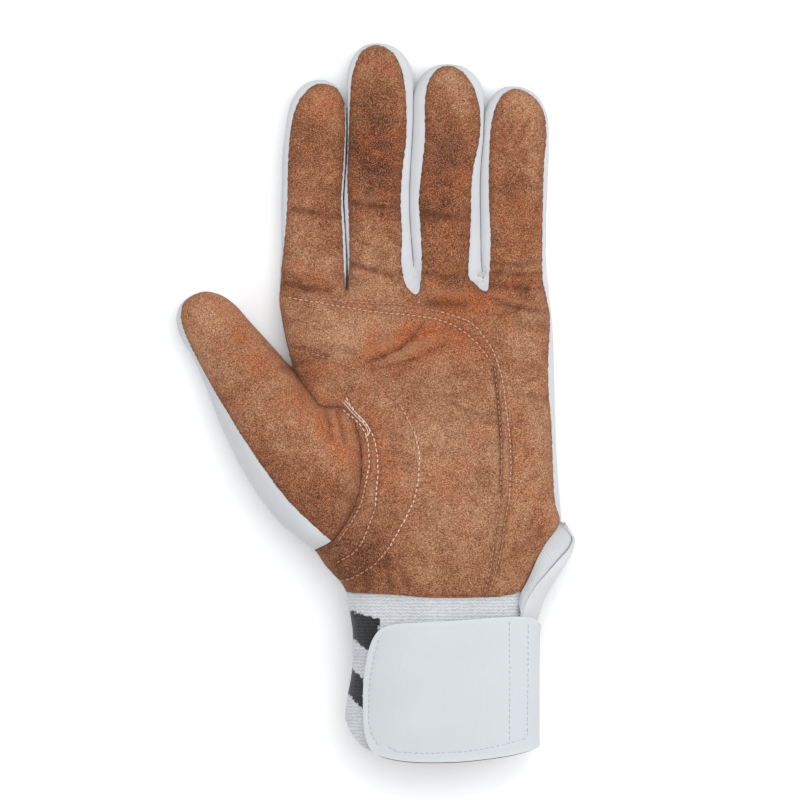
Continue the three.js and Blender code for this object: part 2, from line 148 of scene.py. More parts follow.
# Folds pressed into the skin: both ends of each, its depth (negative stands up) and its half width
FOLDS = table(
    "x1 y1 x2 y2 depth width",
    [
        (-29.6, 69.4, -23.0, 68.4, 0.6, 1.4),
        (-23.0, 68.4, -15.0, 66.9, 0.3, 1.4),
        (-33.0, 46.2, -24.0, 45.6, 0.3, 1.2),
        (-32.0, 43.0, -25.0, 40.6, 0.6, 1.2),
        (-26.0, 41.4, -17.0, 40.2, 0.45, 1.4),
        (-8.6, 71.6, 2.3, 70.4, 0.6, 0.9),
        (2.3, 70.4, 7.4, 70.0, 0.35, 0.9),
        (-7.0, 73.6, 0.0, 73.2, -0.3, 1.1),
        (-9.0, 49.8, -1.0, 47.6, 0.55, 1.1),
        (-1.0, 47.6, 5.6, 45.6, 0.5, 1.2),
        (-7.0, 46.4, 1.0, 44.0, -0.3, 1.2),
        (16.6, 68.4, 25.6, 66.8, 0.65, 1.4),
        (25.6, 66.8, 33.0, 66.0, 0.35, 1.3),
        (18.3, 46.4, 25.0, 45.0, 0.45, 1.2),
        (25.0, 45.0, 31.0, 46.0, 0.3, 1.2),
        (19.6, 35.8, 31.0, 35.6, 0.55, 1.7),
        (20.0, 39.6, 32.0, 39.0, -0.3, 1.5),
        (42.2, 50.2, 50.2, 49.6, 0.35, 1.0),
        (50.2, 49.6, 57.6, 50.0, 0.3, 1.0),
        (42.2, 46.9, 50.9, 45.9, 0.5, 0.9),
        (50.9, 45.9, 58.0, 46.6, 0.4, 0.9),
        (41.8, 42.0, 54.0, 40.8, 0.5, 1.0),
        (54.0, 40.8, 59.0, 41.4, 0.35, 1.0),
        (40.9, 39.4, 50.9, 36.4, -0.4, 0.8),
        (50.9, 36.4, 60.4, 34.8, -0.35, 0.8),
        (43.0, 36.6, 51.0, 34.2, 0.45, 1.1),
        (51.0, 34.2, 60.0, 32.6, 0.4, 1.1),
        (50.0, 28.6, 60.0, 27.4, 0.3, 1.6),
        (-3.1, 14.9, 2.8, 16.7, 0.6, 1.1),
        (2.8, 16.7, 8.7, 19.4, 0.6, 1.1),
        (8.7, 19.4, 13.1, 23.8, 0.55, 1.3),
        (13.1, 23.8, 16.8, 27.9, 0.4, 1.3),
        (-4.0, 18.2, 6.0, 22.0, -0.4, 1.4),
        (-1.6, 11.6, 13.1, 15.6, 0.5, 1.1),
        (13.1, 15.6, 24.8, 20.6, 0.4, 1.3),
        (6.0, 16.2, 20.0, 22.6, -0.45, 1.3),
        (-19.6, 20.6, -8.0, 18.0, 0.3, 1.2),
        (-29.0, 19.8, -17.0, 17.0, 0.35, 1.2),
        (2.0, 8.4, 12.0, 12.0, 0.3, 1.4),
        (25.6, 0.9, 32.2, -2.7, 0.3, 0.9),
        (32.2, -2.7, 41.0, -4.4, 0.3, 0.9),
        (49.8, 3.1, 61.0, 1.7, 0.35, 1.4),
        (42.0, 13.0, 43.3, 2.0, 0.55, 0.8),
        (43.3, 2.0, 44.2, -12.0, 0.6, 0.8),
        (44.2, -12.0, 44.4, -32.0, 0.4, 0.8),
        (48.2, -8.0, 48.6, -26.0, 0.35, 0.8),
        (47.2, -34.0, 43.6, -60.0, 0.3, 0.9),
        (-33.6, 12.6, -18.0, 16.2, 0.4, 1.6),
        (-8.0, -57.0, 3.0, -58.4, 0.3, 1.6),
        (3.6, -56.0, 5.2, -66.0, 0.5, 1.3),
        (-4.4, -60.0, -3.4, -66.8, 0.5, 1.3),
        (-12.6, -56.0, -13.2, -64.0, 0.45, 1.4),
        (9.0, -60.0, 12.0, -67.0, 0.3, 1.6),
        (-17.9, -4.4, -15.9, -12.5, 0.45, 1.0),
        (-13.9, -3.8, -11.9, -14.0, 0.45, 1.0),
        (-15.9, -3.6, -13.9, -13.0, -0.4, 0.9),
        (-11.6, -5.6, -9.6, -14.6, -0.3, 0.9),
        (50.0, -53.0, 59.0, -46.4, 0.35, 2.0),
    ],
)

# Where the white cloth between the fingers is crumpled
WEBS = table(
    "x y half_x half_y",
    [(13.8, 45.0, 2.6, 5.0), (37.2, 44.0, 3.2, 5.0)],
)

# Where the seams between the suede and the cloth of the back dip (or with a minus rise)
SEAM_DIPS = table(
    "x y half_x half_y drop",
    [
        (-31.0, 8.0, 9.0, 13.0, 16.0),
        (-34.5, 26.0, 7.0, 12.0, 5.0),
        (-35.0, 47.0, 7.0, 10.0, -3.6),
        (66.5, -43.5, 5.0, 6.0, 3.0),
        (-22.0, -53.5, 8.0, 9.0, 13.0),
    ],
)
THUMB_SEAM_DIPS = table("x y half_x half_y drop", [(-70.0, 36.0, 7.0, 7.0, -5.5)])

# Sideways and lengthways waves, in turns a millimetre, of the frayed edge of the suede
FRAY = table("x y start", [(0.46, 0.21, 0.0), (0.27, -0.49, 0.2), (-0.62, 0.36, 0.6)])
FRAY_DEPTH = 0.07

# Seam lines and outlines in plan view
SUEDE_EDGE = (
    (-36.0, 8.0), (-38.0, 20.0), (-39.0, 28.0), (-38.6, 34.0), (-36.6, 40.0), (-34.6, 45.5), (-33.2, 56.0),
    (-32.0, 70.0), (-31.7, 84.0), (-31.1, 95.0), (-29.4, 104.5), (-26.4, 110.6), (-20.9, 114.6),
    (-14.4, 113.2), (-11.8, 109.0), (-11.3, 98.0), (-12.0, 84.0), (-12.7, 73.0), (-12.2, 60.0),
    (-11.7, 48.0), (-11.1, 41.6), (-10.5, 43.0), (-9.7, 51.5), (-9.9, 66.0), (-10.4, 80.0), (-10.0, 95.0),
    (-9.5, 107.0), (-8.8, 116.5), (-7.2, 122.2), (-4.9, 126.6), (-0.2, 128.6), (4.6, 126.8), (7.4, 123.3),
    (9.7, 116.5), (10.6, 107.0), (10.6, 95.0), (9.4, 85.0), (8.6, 73.0), (9.1, 60.0), (8.8, 51.5),
    (9.8, 44.3), (11.8, 40.5), (14.1, 38.9), (15.6, 41.2), (16.4, 51.5), (15.7, 66.0), (15.3, 73.0),
    (16.4, 84.0), (17.5, 95.0), (17.5, 107.5), (18.6, 114.8), (21.4, 119.4), (25.6, 121.2), (29.7, 119.8),
    (33.2, 116.2), (35.7, 111.2), (37.2, 103.5), (36.9, 94.7), (35.1, 86.5), (34.0, 78.0), (33.8, 66.0),
    (33.3, 55.0), (32.9, 46.5), (34.8, 43.2), (39.6, 40.0), (40.6, 46.0), (41.1, 58.7), (40.5, 73.0),
    (40.5, 86.0), (41.1, 98.0), (42.5, 105.0), (45.0, 110.2), (49.2, 112.8), (53.4, 111.9), (57.2, 109.0),
    (60.0, 104.5), (61.0, 96.0), (60.1, 86.0), (59.7, 73.0), (59.5, 58.0), (59.6, 45.0), (61.2, 37.0),
    (62.3, 30.0), (61.6, 16.0), (61.7, 4.0), (62.7, -7.0), (63.2, -20.5), (63.9, -34.9), (66.0, -43.6),
    (60.7, -51.8), (55.3, -61.4), (52.3, -67.4), (49.1, -69.1), (39.8, -70.1), (30.0, -70.6),
    (19.3, -70.6), (8.5, -70.0), (-11.3, -69.0), (-34.0, -68.6),
)
SUEDE_CORNERS = ((-FAR, -68.6), (-FAR, 4.0), (-40.0, 4.0))
THUMB_SEAM = (
    (-40.1, 47.9), (-37.4, 29.9), (-33.9, 17.3), (-31.1, 13.3), (-25.6, 5.6), (-22.6, 1.6),
    (-20.6, -1.0), (-17.1, -1.5), (-13.4, -1.5), (-8.8, -5.0), (-6.3, -11.9), (-5.4, -20.5),
    (-6.0, -31.3), (-8.7, -38.9), (-13.4, -46.4), (-16.8, -50.0), (-21.8, -52.6),
)
THUMB_CORNERS = ((-27.5, -55.5), (-FAR, -55.5), (-FAR, 60.0), (-42.0, 60.0))
THUMB_SUEDE_EDGE = (
    (-12.5, -52.5), (-16.2, -49.3), (-20.3, -45.7), (-31.5, -34.9), (-42.3, -20.5), (-51.7, -6.1),
    (-60.0, 7.9), (-64.4, 15.9), (-67.0, 21.2), (-69.0, 25.9), (-70.1, 30.5), (-69.6, 35.0),
    (-67.6, 38.4), (-64.2, 40.8),
)
THUMB_SUEDE_CORNERS = ((-58.0, 60.0), (FAR, 60.0), (FAR, -52.5))
HEEL_SEAM = (
    (-30.0, -66.6), (-11.3, -67.9), (8.5, -68.8), (19.3, -69.7), (39.8, -69.5), (49.1, -68.5), (53.0, -67.4),
    (75.0, -67.4),
)
HEEL_CORNERS = ((FAR, -67.4), (FAR, -FAR), (-FAR, -FAR), (-FAR, -66.6))
CUFF_END = (
    (-14.0, -110.0), (-11.5, -113.5), (-8.6, -119.5), (-4.5, -123.6), (4.5, -126.6), (19.3, -127.8),
    (36.0, -127.2), (50.0, -125.0), (62.0, -121.0),
)
CUFF_CORNERS = ((FAR, -121.4), (FAR, -FAR), (-FAR, -FAR), (-FAR, -110.0))
GUSSET_EDGE = ((50.6, -72.0), (52.7, -67.6), (55.3, -62.6), (60.7, -51.8), (66.4, -44.3), (74.0, -40.0))
GUSSET_CORNERS = ((FAR, -40.0), (FAR, -72.0))
PATCH_OUTER_ROW = (
    (-23.6, 38.2), (-16.4, 37.1), (-5.2, 36.0), (8.1, 35.3), (15.0, 34.2), (22.9, 32.8), (30.8, 30.2),
    (34.8, 28.0), (39.3, 22.8), (42.3, 17.6), (44.0, 12.5), (45.4, 7.0), (46.7, -4.5), (47.9, -13.5),
    (48.1, -24.0), (47.5, -35.0), (46.0, -42.5), (44.6, -53.0), (42.8, -60.0), (40.3, -68.2),
)
PATCH_CORNERS = ((-12.0, -67.4), (-FAR, -67.4), (-FAR, 39.6), (-34.0, 39.6))
PATCH_INNER_ROW = (
    (-32.0, 38.0), (-16.7, 35.3), (-3.4, 33.1), (15.7, 31.0), (22.0, 29.9), (26.5, 28.4), (30.8, 25.9),
    (35.5, 22.0), (40.1, 16.2), (42.3, 12.6), (43.2, 5.5), (44.3, -6.1), (44.8, -17.0), (44.6, -28.0),
    (43.8, -38.5), (42.6, -45.7), (41.2, -56.5), (39.8, -63.7), (38.6, -68.2),
)
ARC_ROW = (
    (-31.5, 19.4), (-17.8, 16.2), (-4.1, 10.1), (8.8, -1.1), (11.4, -6.2), (13.9, -11.2), (15.3, -17.6),
    (15.3, -22.0), (14.9, -28.0), (13.5, -34.6), (11.0, -40.0), (8.1, -45.7), (4.9, -51.2), (1.6, -55.4),
    (-2.0, -59.0), (-8.5, -62.6), (-13.0, -63.8),
)
ARC_CORNERS = ((-FAR, -63.8), (-FAR, 19.4))
THUMB_INNER_ROW = (
    (-12.4, -2.2), (-7.0, -6.5), (-3.8, -11.2), (-2.7, -17.6), (-2.7, -22.7), (-3.8, -28.8), (-5.6, -36.4),
    (-9.0, -43.0), (-13.6, -49.4),
)
THUMB_OUTER_ROW = (
    (-11.0, 2.2), (-8.1, -2.5), (-2.3, -9.7), (-0.2, -15.8), (0.5, -22.7), (0.2, -29.5), (-0.5, -38.2),
    (-3.1, -45.0), (-5.2, -50.4), (-8.5, -54.0), (-14.2, -57.2),
)
LONG_STITCH = ((-11.6, 0.6), (-8.4, -3.0), (-4.6, -6.8), (-2.7, -10.1), (-3.6, -12.2))
LOOSE_ENDS = [[(x + shift, y + shift) for x, y in LONG_STITCH] for shift in (-0.3, 0.3)]

# Stretches of the rows whose thread is worn, bright and nearly as dark as the suede
WORN_ROWS = (
    PATCH_INNER_ROW[:9], PATCH_OUTER_ROW[5:16], ARC_ROW[3:6], ARC_ROW[12:14],
    THUMB_INNER_ROW[5:8], THUMB_OUTER_ROW[6:9],
)
BRIGHT_ROWS = (ARC_ROW[5:13], THUMB_INNER_ROW[:6], THUMB_OUTER_ROW[:7])
FADED_ROWS = (
    PATCH_OUTER_ROW[:6], PATCH_OUTER_ROW[15:], PATCH_INNER_ROW[8:],
    ARC_ROW[:4], ARC_ROW[13:], THUMB_INNER_ROW[7:], THUMB_OUTER_ROW[8:],
)

# Rows of stitches on the strap: along the bottom, twice down the wrist's side and beside the free end
STRAP_ROWS = (
    (
        (4.0, -123.0), (8.6, -124.8), (19.0, -125.2), (30.0, -124.8), (38.0, -123.8), (48.0, -121.6),
        (54.0, -119.9),
    ),
    ((47.6, -78.0), (47.8, -100.0), (47.6, -121.0)),
    ((54.4, -79.0), (54.3, -98.0), (54.0, -119.0)),
    ((0.8, -84.6), (-1.0, -92.0), (-2.3, -100.0), (-2.7, -109.0), (-2.2, -117.0), (0.6, -122.6)),
)

STRAP_SIDE_TOP = ((80.0, -81.5), (60.4, -80.2), (58.2, -78.7))
STRAP_SIDE_BOTTOM = ((55.0, -124.6), (58.0, -123.4), (60.5, -122.4), (80.0, -122.0))
STRAP_FRONT = (
    *STRAP_SIDE_TOP, (56.3, -77.1), (53.4, -76.5), (46.3, -76.5), (24.5, -78.0), (8.6, -78.8), (4.1, -79.7),
    (0.9, -81.3), (-1.6, -85.1), (-3.2, -90.3), (-4.5, -98.6), (-4.8, -108.1), (-4.5, -115.8),
    (-3.6, -120.9), (-1.6, -124.6), (1.6, -126.5), (8.6, -128.0), (16.9, -128.6), (30.9, -128.3),
    (46.3, -126.5), *STRAP_SIDE_BOTTOM,
)
STRAP_BACK = (
    *STRAP_SIDE_TOP, (50.0, -76.6), (24.5, -78.0), (14.0, -79.0), (14.0, -102.0), (15.0, -126.0),
    (18.0, -127.8), (23.0, -128.5), (46.3, -126.5), *STRAP_SIDE_BOTTOM,
)
# Ribbed strip and lip at the little-finger side of the wrist: suede edge, slit, outer edge and foot
SIDE_FOLD = table(
    "edge_x edge_y edge_z slit_x slit_y slit_z outer_x outer_y outer_z foot_x foot_z",
    [
        (66.2, -42.4, 17.0, 66.9, -43.4, 18.2, 67.2, -43.8, 17.4, 66.2, 11.0),
        (65.6, -43.4, 18.0, 70.6, -48.8, 21.5, 71.5, -49.6, 21.0, 69.0, 12.0),
        (63.7, -46.9, 22.0, 68.9, -52.4, 23.5, 70.3, -53.6, 22.0, 67.8, 11.5),
        (60.5, -51.4, 24.8, 64.6, -57.0, 26.0, 67.4, -58.7, 23.0, 65.5, 11.0),
        (57.6, -56.6, 26.6, 60.9, -61.4, 28.0, 64.2, -63.2, 23.5, 63.2, 11.0),
        (55.6, -61.1, 28.1, 57.6, -65.0, 29.6, 61.5, -67.4, 24.0, 60.9, 11.5),
        (53.7, -65.0, 29.1, 55.0, -69.0, 30.4, 59.5, -71.2, 24.0, 58.9, 12.0),
        (52.0, -67.9, 29.7, 53.3, -72.4, 30.8, 58.2, -75.1, 23.5, 57.6, 13.0),
        (50.8, -72.0, 29.4, 52.2, -78.0, 30.7, 56.9, -79.8, 22.0, 56.3, 14.0),
    ],
)

# Patches of darker (or with a minus paler) and of more orange suede. They are partly the suede's own
# uneven tone and partly painted light and shade, such as the painted shadow on the palm beside the
# thumb's edge (-24.5, 6.0) and the painted highlight on the thumb's lit crown (-16.0, -12.0)
SUEDE_TONE_AND_PAINTED_LIGHT = table(
    "x y half_x half_y turn dark warm",
    [
        (14.0, 90.0, 55, 32, 0, 0.35, 0.0),
        (0.0, 94.0, 8, 21, 0, 0.8, 0.0),
        (-2.0, 96.0, 6, 7, 0, 0.2, 0.0),
        (-1.0, 80.0, 9, 9, 0, 0.3, 0.0),
        (-18.5, 84.0, 10, 9, 0, 0.3, 0.0),
        (-25.7, 91.0, 6, 14, 0, 0.35, 0.0),
        (-18.5, 56.0, 9, 6, 0, 0.25, 0.0),
        (-27.5, 42.5, 10, 4, 0, 0.6, 0.0),
        (24.7, 68.0, 9, 6, 0, 0.4, 0.0),
        (26.5, 91.0, 8, 16, 0, 0.3, 0.0),
        (24.0, 80.0, 8, 15, 0, 0.3, 0.0),
        (18.5, 69.0, 4, 14, 0, 0.3, 0.0),
        (31.5, 60.0, 4, 9, 0, 0.3, 0.0),
        (25.0, 57.0, 9, 6, 0, 0.4, 0.0),
        (24.7, 44.5, 9, 5, 0, 0.35, 0.14),
        (24.7, 36.5, 9, 4, 0, 0.55, 0.0),
        (50.0, 42.0, 9, 5, 0, 0.45, 0.07),
        (47.0, 75.0, 6, 18, 0, 0.4, 0.0),
        (-4.0, -57.0, 16, 10, 0, 1.0, 0.0),
        (8.0, -66.0, 22, 4, 0, 0.4, 0.0),
        (55.3, 12.5, 5, 7, 0, 0.55, 0.0),
        (-24.5, 6.0, 5, 8, -25, 0.5, 0.21),
        (45.5, -44.0, 3, 10, 0, 0.2, 0.0),
        (7.0, -38.0, 8, 11, 0, 0.4, 0.0),
        (10.0, -45.0, 6, 6, 0, 0.3, 0.0),
        (-30.0, -33.0, 5, 12, 40, 0.35, 0.0),
        (-49.0, -3.0, 4, 9, 35, 0.25, 0.0),
        (-19.0, -38.0, 10, 14, 0, 0.35, 0.0),
        (-40.0, -22.0, 6, 20, 35, 0.3, 0.0),
        (5.0, -20.0, 5, 16, 0, 0.2, 0.14),
        (-18.5, 107.0, 8, 7, 0, 0.0, 0.39),
        (-49.0, 25.0, 6, 15, 35, 0.0, 0.52),
        (-38.0, 8.0, 5, 12, 35, 0.0, 0.28),
        (-13.1, -6.1, 8, 8, 0, -0.2, 0.56),
        (2.0, 20.0, 13, 4, 22, 0.2, 0.56),
        (17.0, 26.0, 12, 5, 15, 0.0, 0.49),
        (9.0, 11.0, 10, 4, 22, 0.1, 0.42),
        (-22.0, 13.0, 10, 5, 0, 0.1, 0.42),
        (-1.0, -8.0, 4, 16, 10, 0.1, 0.49),
        (50.0, -13.0, 5, 14, 0, 0.1, 0.49),
        (58.0, -42.0, 6, 9, 0, 0.0, 0.35),
        (34.0, 35.0, 12, 5, -10, 0.1, 0.49),
        (14.0, 33.5, 8, 3, 0, 0.1, 0.35),
        (48.0, 104.0, 5, 8, 0, 0.0, 0.24),
        (26.5, 22.0, 15, 8, 0, 0.0, 1.0),
        (36.0, 38.0, 15, 5, 0, 0.0, 0.6),
        (-45.5, 24.5, 5, 6, 40, 0.0, 0.4),
        (5.0, -56.0, 22, 10, 0, 0.0, -0.3),
        (-33.0, -22.0, 9, 18, 38, 0.0, -0.3),
        (-16.0, -12.0, 7, 19, 37, -0.9, 0.7),
        (-57.0, 31.0, 12, 7, 0, -0.65, 0.0),
        (-39.0, 13.0, 5, 9, 40, -0.35, 0.0),
        (0.5, 120.0, 9, 7, 0, -0.35, 0.1),
        (-21.0, 106.0, 8, 7, 0, -0.4, 0.0),
        (57.5, 94.0, 4, 18, 0, -0.45, 0.0),
        (57.5, 64.0, 4, 12, 0, -0.25, 0.0),
        (54.5, 27.0, 6, 7, 0, -0.35, 0.0),
        (65.0, -33.0, 6, 13, 0, -0.6, 0.0),
        (46.0, -22.0, 5, 12, 0, -0.4, 0.0),
        (-10.0, 17.0, 11, 6, 0, -0.45, 0.0),
        (-8.8, 39.0, 5, 4, 0, -0.4, 0.0),
        (-15.0, 101.0, 4, 9, 0, -0.35, 0.0),
        (7.0, 115.0, 4, 10, 0, -0.5, 0.1),
        (-13.1, 26.0, 16, 6, -5, -0.5, 0.0),
        (23.0, -13.0, 18, 20, 0, -0.3, 0.0),
        (24.7, -44.0, 14, 12, 0, -0.1, 0.0),
        (-61.7, 33.0, 8, 7, 0, -0.3, 0.07),
        (-38.0, 1.0, 8, 10, 35, -0.3, 0.0),
        (-27.5, 61.0, 8, 8, 0, -0.35, 0.0),
        (-20.0, 50.0, 9, 5, 0, -0.3, 0.07),
        (-0.5, 57.0, 9, 9, 0, -0.1, 0.0),
        (26.5, 116.0, 8, 6, 0, -0.75, 0.0),
        (52.0, 109.0, 8, 7, 0, -0.75, 0.07),
        (59.0, -3.0, 5, 12, 0, -0.4, 0.07),
    ],
)


# Places and weights of the average that softens a column between its rows
BLUR_STEPS = np.linspace(-0.9, 0.9, 7)
BLUR_WEIGHTS = np.cos(BLUR_STEPS * math.pi / 2) ** 2
FINGER_EDGE_BLUR = 5.0


def read(rows: Table, key: str, name: str, at: Array, blur: float = 0.0) -> Array:
    """Reads one column of a table along another.

    Args:
        rows: The table, its key column rising.
        key: Column that the places are measured along.
        name: Column to read.
        at: Places to read it at.
        blur: Distance over which the corners between rows are rounded.

    Returns:
        The column's value at each place.
    """
    spots = zip(BLUR_STEPS, BLUR_WEIGHTS)
    total = sum(weight * np.interp(at + step * blur, rows[key], rows[name]) for step, weight in spots)
    return total / BLUR_WEIGHTS.sum()


def finger_edge(name: str, y: Array) -> Array:
    """Place across of one edge of the fingers."""
    return read(FINGER_EDGES, "y", name, y, FINGER_EDGE_BLUR)


def powered(value: Array, power: Array | float) -> Array:
    """Share of a superellipse's half width at a share of the turn."""
    return np.sign(value) * np.abs(value) ** (2 / power)


def around(turn: Array, power: Array | float) -> tuple[Array, Array]:
    """Places on a rounded ring.

    Args:
        turn: Share of the way round.
        power: How square the ring is, from 2 for an ellipse.

    Returns:
        The share of the half width and the share of the half height at each place.
    """
    angle = turn * 2 * math.pi
    return powered(np.cos(angle), power), powered(np.sin(angle), power)


def bell(distance: Array, height: float, width: float) -> Array:
    """Height of a rounded ridge at distances from its middle."""
    return height * np.exp(-((distance / width) ** 2))


def spline(points: Line, steps: int = 6) -> Array:
    """Smooth line through points.

    Args:
        points: The points that the line passes through.
        steps: Samples from one point to the next.

    Returns:
        The samples, one a row, both ends included.
    """
    path = np.array(points, float)
    path = np.vstack((2 * path[0] - path[1], path, 2 * path[-1] - path[-2]))
    share = np.linspace(0, 1, steps, endpoint=False)[:, None]
    spans = []
    for a, b, c, d in zip(path, path[1:], path[2:], path[3:]):
        bend = 2 * a - 5 * b + 4 * c - d
        twist = 3 * b - a - 3 * c + d
        spans.append(0.5 * (2 * b + (c - a) * share + bend * share**2 + twist * share**3))
    return np.vstack((*spans, path[-2]))


def line_distance(points: Array, line: Array) -> Array:
    """Distance in plan view from points to a line.

    Args:
        points: Points whose first two columns are their place in plan.
        line: Corners of the line.

    Returns:
        The distance of each point.
    """
    place = points[:, :2]
    best = np.full(len(place), np.inf)
    for start, run in zip(line, np.diff(line, axis=0)):
        offset = place - start
        share = np.clip(offset @ run / max(run @ run, TINY), 0, 1)
        gap = offset - share[:, None] * run
        best = np.minimum(best, np.einsum("ij,ij->i", gap, gap))
    return np.sqrt(best)


@dataclass(frozen=True)
class Outline:
    """Area in plan view: a smooth seam line, closed by corners outside the glove."""

    seam: Line
    corners: Line = ()
    grow: float = 0.0

    def inside(self, points: Array) -> Array:
        """Distance of points to the outline.

        Args:
            points: Points whose first two columns are their place in plan.

        Returns:
            The distance of each point, positive inside the area.
        """
        line = np.vstack([part for part in (spline(self.seam), self.corners) if len(part)])
        loop = np.vstack((line, line[:1]))
        crossings = np.zeros(len(points), bool)
        x, y = points[:, 0], points[:, 1]
        for (x1, y1), (x2, y2) in zip(loop, loop[1:]):
            if y1 == y2:
                continue
            passed = (y1 > y) != (y2 > y)
            crossings ^= passed & (x < (x2 - x1) * (y - y1) / (y2 - y1) + x1)
        return np.where(crossings, 1.0, -1.0) * line_distance(points, loop) + self.grow


THUMB_AREA = Outline(THUMB_SEAM, THUMB_CORNERS)
SUEDE_AREA = Outline(SUEDE_EDGE, SUEDE_CORNERS)
THUMB_SUEDE_AREA = Outline(THUMB_SUEDE_EDGE, THUMB_SUEDE_CORNERS)
WRIST_AREA = Outline(HEEL_SEAM, HEEL_CORNERS)
PAST_CUFF_AREA = Outline(CUFF_END, CUFF_CORNERS)
GUSSET_AREA = Outline(GUSSET_EDGE, GUSSET_CORNERS)
PATCH_AREA = Outline(PATCH_OUTER_ROW, PATCH_CORNERS, grow=0.9)
ARC_AREA = Outline(ARC_ROW, ARC_CORNERS, grow=0.8)
STRAP_FRONT_AREA = Outline(STRAP_FRONT)
STRAP_BACK_AREA = Outline(STRAP_BACK)
SEAM_BLUR = 4.0
THUMB_SEAM_HEIGHT = 7.0
STRAP_MIDDLE_Z = 20.0
FOURCHETTE_FOOT = 4.0
FOURCHETTE_START = 34.0
FOURCHETTE_BELOW_TIP = 1.5
FOURCHETTE_TAPER = 24.0
FOURCHETTE_RISE = 0.55
CLOTH_SEAM = 0.09


def hollow(points: Array, x: float, y: float, half_x: float, half_y: float) -> Array:
    """Share of a rounded patch in plan view, 1 at its middle."""
    return np.exp(-(((points[:, 0] - x) / half_x) ** 2) - ((points[:, 1] - y) / half_y) ** 2)


def dipped(points: Array, height: Array | float, dips: Table) -> Array:
    """Height of a seam with its dips.

    Args:
        points: Places on the glove.
        height: Height of the seam without them.
        dips: The dips.

    Returns:
        The height at each place.
    """
    for x, y, half_x, half_y, drop in zip(*dips.values()):
        height = height - drop * hollow(points, x, y, half_x, half_y)
    return height


def side_seam(points: Array) -> Array:
    """Height of the seam between the palm side and the back."""
    return dipped(points, read(HAND, "y", "seam", points[:, 1], SEAM_BLUR), SEAM_DIPS)


def fray(points: Array) -> Array:
    """Small unevenness of a cut edge of suede.

    Args:
        points: Places on the glove.

    Returns:
        How far the edge moves at each place.
    """
    turns = [points[:, 0] * x + points[:, 1] * y + start for x, y, start in zip(*FRAY.values())]
    return FRAY_DEPTH * np.sin(2 * math.pi * np.array(turns)).sum(axis=0)


def in_palm_suede(points: Array) -> Array:
    """How far points lie inside the suede of palm and fingers, up from the side seam and in from the edge."""
    return np.minimum(SUEDE_AREA.inside(points), points[:, 2] - side_seam(points)) + fray(points)


def in_thumb_suede(points: Array) -> Array:
    """How far points lie inside the suede front of the thumb."""
    seam = dipped(points, THUMB_SEAM_HEIGHT, THUMB_SEAM_DIPS)
    return np.minimum(THUMB_SUEDE_AREA.inside(points), points[:, 2] - seam) + fray(points)


def in_gusset(points: Array) -> Array:
    """How far points lie inside the ribbed strip at the little-finger side of the wrist."""
    return np.minimum(GUSSET_AREA.inside(points), points[:, 2] - side_seam(points))


def in_strap(points: Array) -> Array:
    """How far points lie inside the strap, whose two ends differ on the front and the back of the wrist."""
    front = STRAP_FRONT_AREA.inside(points)
    return np.where(points[:, 2] > STRAP_MIDDLE_Z, front, STRAP_BACK_AREA.inside(points))


def between_fingers(index: int) -> Measure:
    """Room of the strip between a finger and the next one.

    Args:
        index: Which finger, counted from the index finger.

    Returns:
        The measure of how far points lie inside that room.
    """
    left, right = FINGER_TIPS["x"][index : index + 2]
    end = FINGER_TIPS["y"][index : index + 2].min() - FOURCHETTE_BELOW_TIP

    def measure(points: Array) -> Array:
        """Distance to the nearest wall of the room.

        Args:
            points: Places on the glove.

        Returns:
            The distance of each place, positive inside.
        """
        x, y, z = points.T
        foot = FOURCHETTE_FOOT + FOURCHETTE_RISE * np.maximum(y - end + FOURCHETTE_TAPER, 0)
        return np.min((x - left, right - x, y - FOURCHETTE_START, end - y, z - foot), axis=0)

    return measure


def outside(measure: Measure) -> Measure:
    """The same measure for what lies outside."""
    return lambda points: -measure(points)


def inset(measure: Measure, distance: float) -> Measure:
    """The same measure for an area with its edge drawn in."""
    return lambda points: measure(points) - distance


def flush(measure: Measure) -> Measure:
    """The same measure for a seam of cloth to cloth, which shows no gap."""
    return lambda points: measure(points) + CLOTH_SEAM


def points_of(mesh: bpy.types.Mesh | bmesh.types.BMesh) -> Array:
    """Vertices of a mesh in millimetres.

    Args:
        mesh: The mesh.

    Returns:
        Their places, one a row.
    """
    if isinstance(mesh, bmesh.types.BMesh):
        return np.array([vertex.co for vertex in mesh.verts], float).reshape(-1, 3) / MM
    flat = np.empty(3 * len(mesh.vertices), np.float32)
    mesh.vertices.foreach_get("co", flat)
    return flat.reshape(-1, 3).astype(float) / MM


def move_points(mesh: bpy.types.Mesh, points: Array) -> None:
    """Sets the vertices of a mesh from places in millimetres."""
    mesh.vertices.foreach_set("co", (points * MM).astype(np.float32).ravel())
    mesh.update()


def normals_of(mesh: bpy.types.Mesh) -> Array:
    """Vertex normals of a mesh.

    Args:
        mesh: The mesh.

    Returns:
        The normals, one a row.
    """
    flat = np.empty(3 * len(mesh.vertices), np.float32)
    mesh.vertex_normals.foreach_get("vector", flat)
    return flat.reshape(-1, 3).astype(float)


def store(mesh: bpy.types.Mesh, name: str, values: Array) -> None:
    """Keeps a number for each vertex of a mesh under a name."""
    attribute = mesh.attributes.get(name) or mesh.attributes.new(name, "FLOAT", "POINT")
    attribute.data.foreach_set("value", values.astype(np.float32))


def suede_tone_and_painted_light(points: Array) -> tuple[Array, Array]:
    """How much darker and how much more orange the suede is; the darkness is partly painted light and shade.

    Args:
        points: Places on the glove.

    Returns:
        The two amounts at each place.
    """
    dark, warm = np.zeros(len(points)), np.zeros(len(points))
    for x, y, half_x, half_y, turn, more_dark, more_warm in zip(*SUEDE_TONE_AND_PAINTED_LIGHT.values()):
        cos, sin = math.cos(math.radians(turn)), math.sin(math.radians(turn))
        across, along = points[:, 0] - x, points[:, 1] - y
        near = ((across * cos + along * sin) / half_x) ** 2 + ((along * cos - across * sin) / half_y) ** 2
        dark += more_dark * np.exp(-near)
        warm += more_warm * np.exp(-near)
    return dark, warm


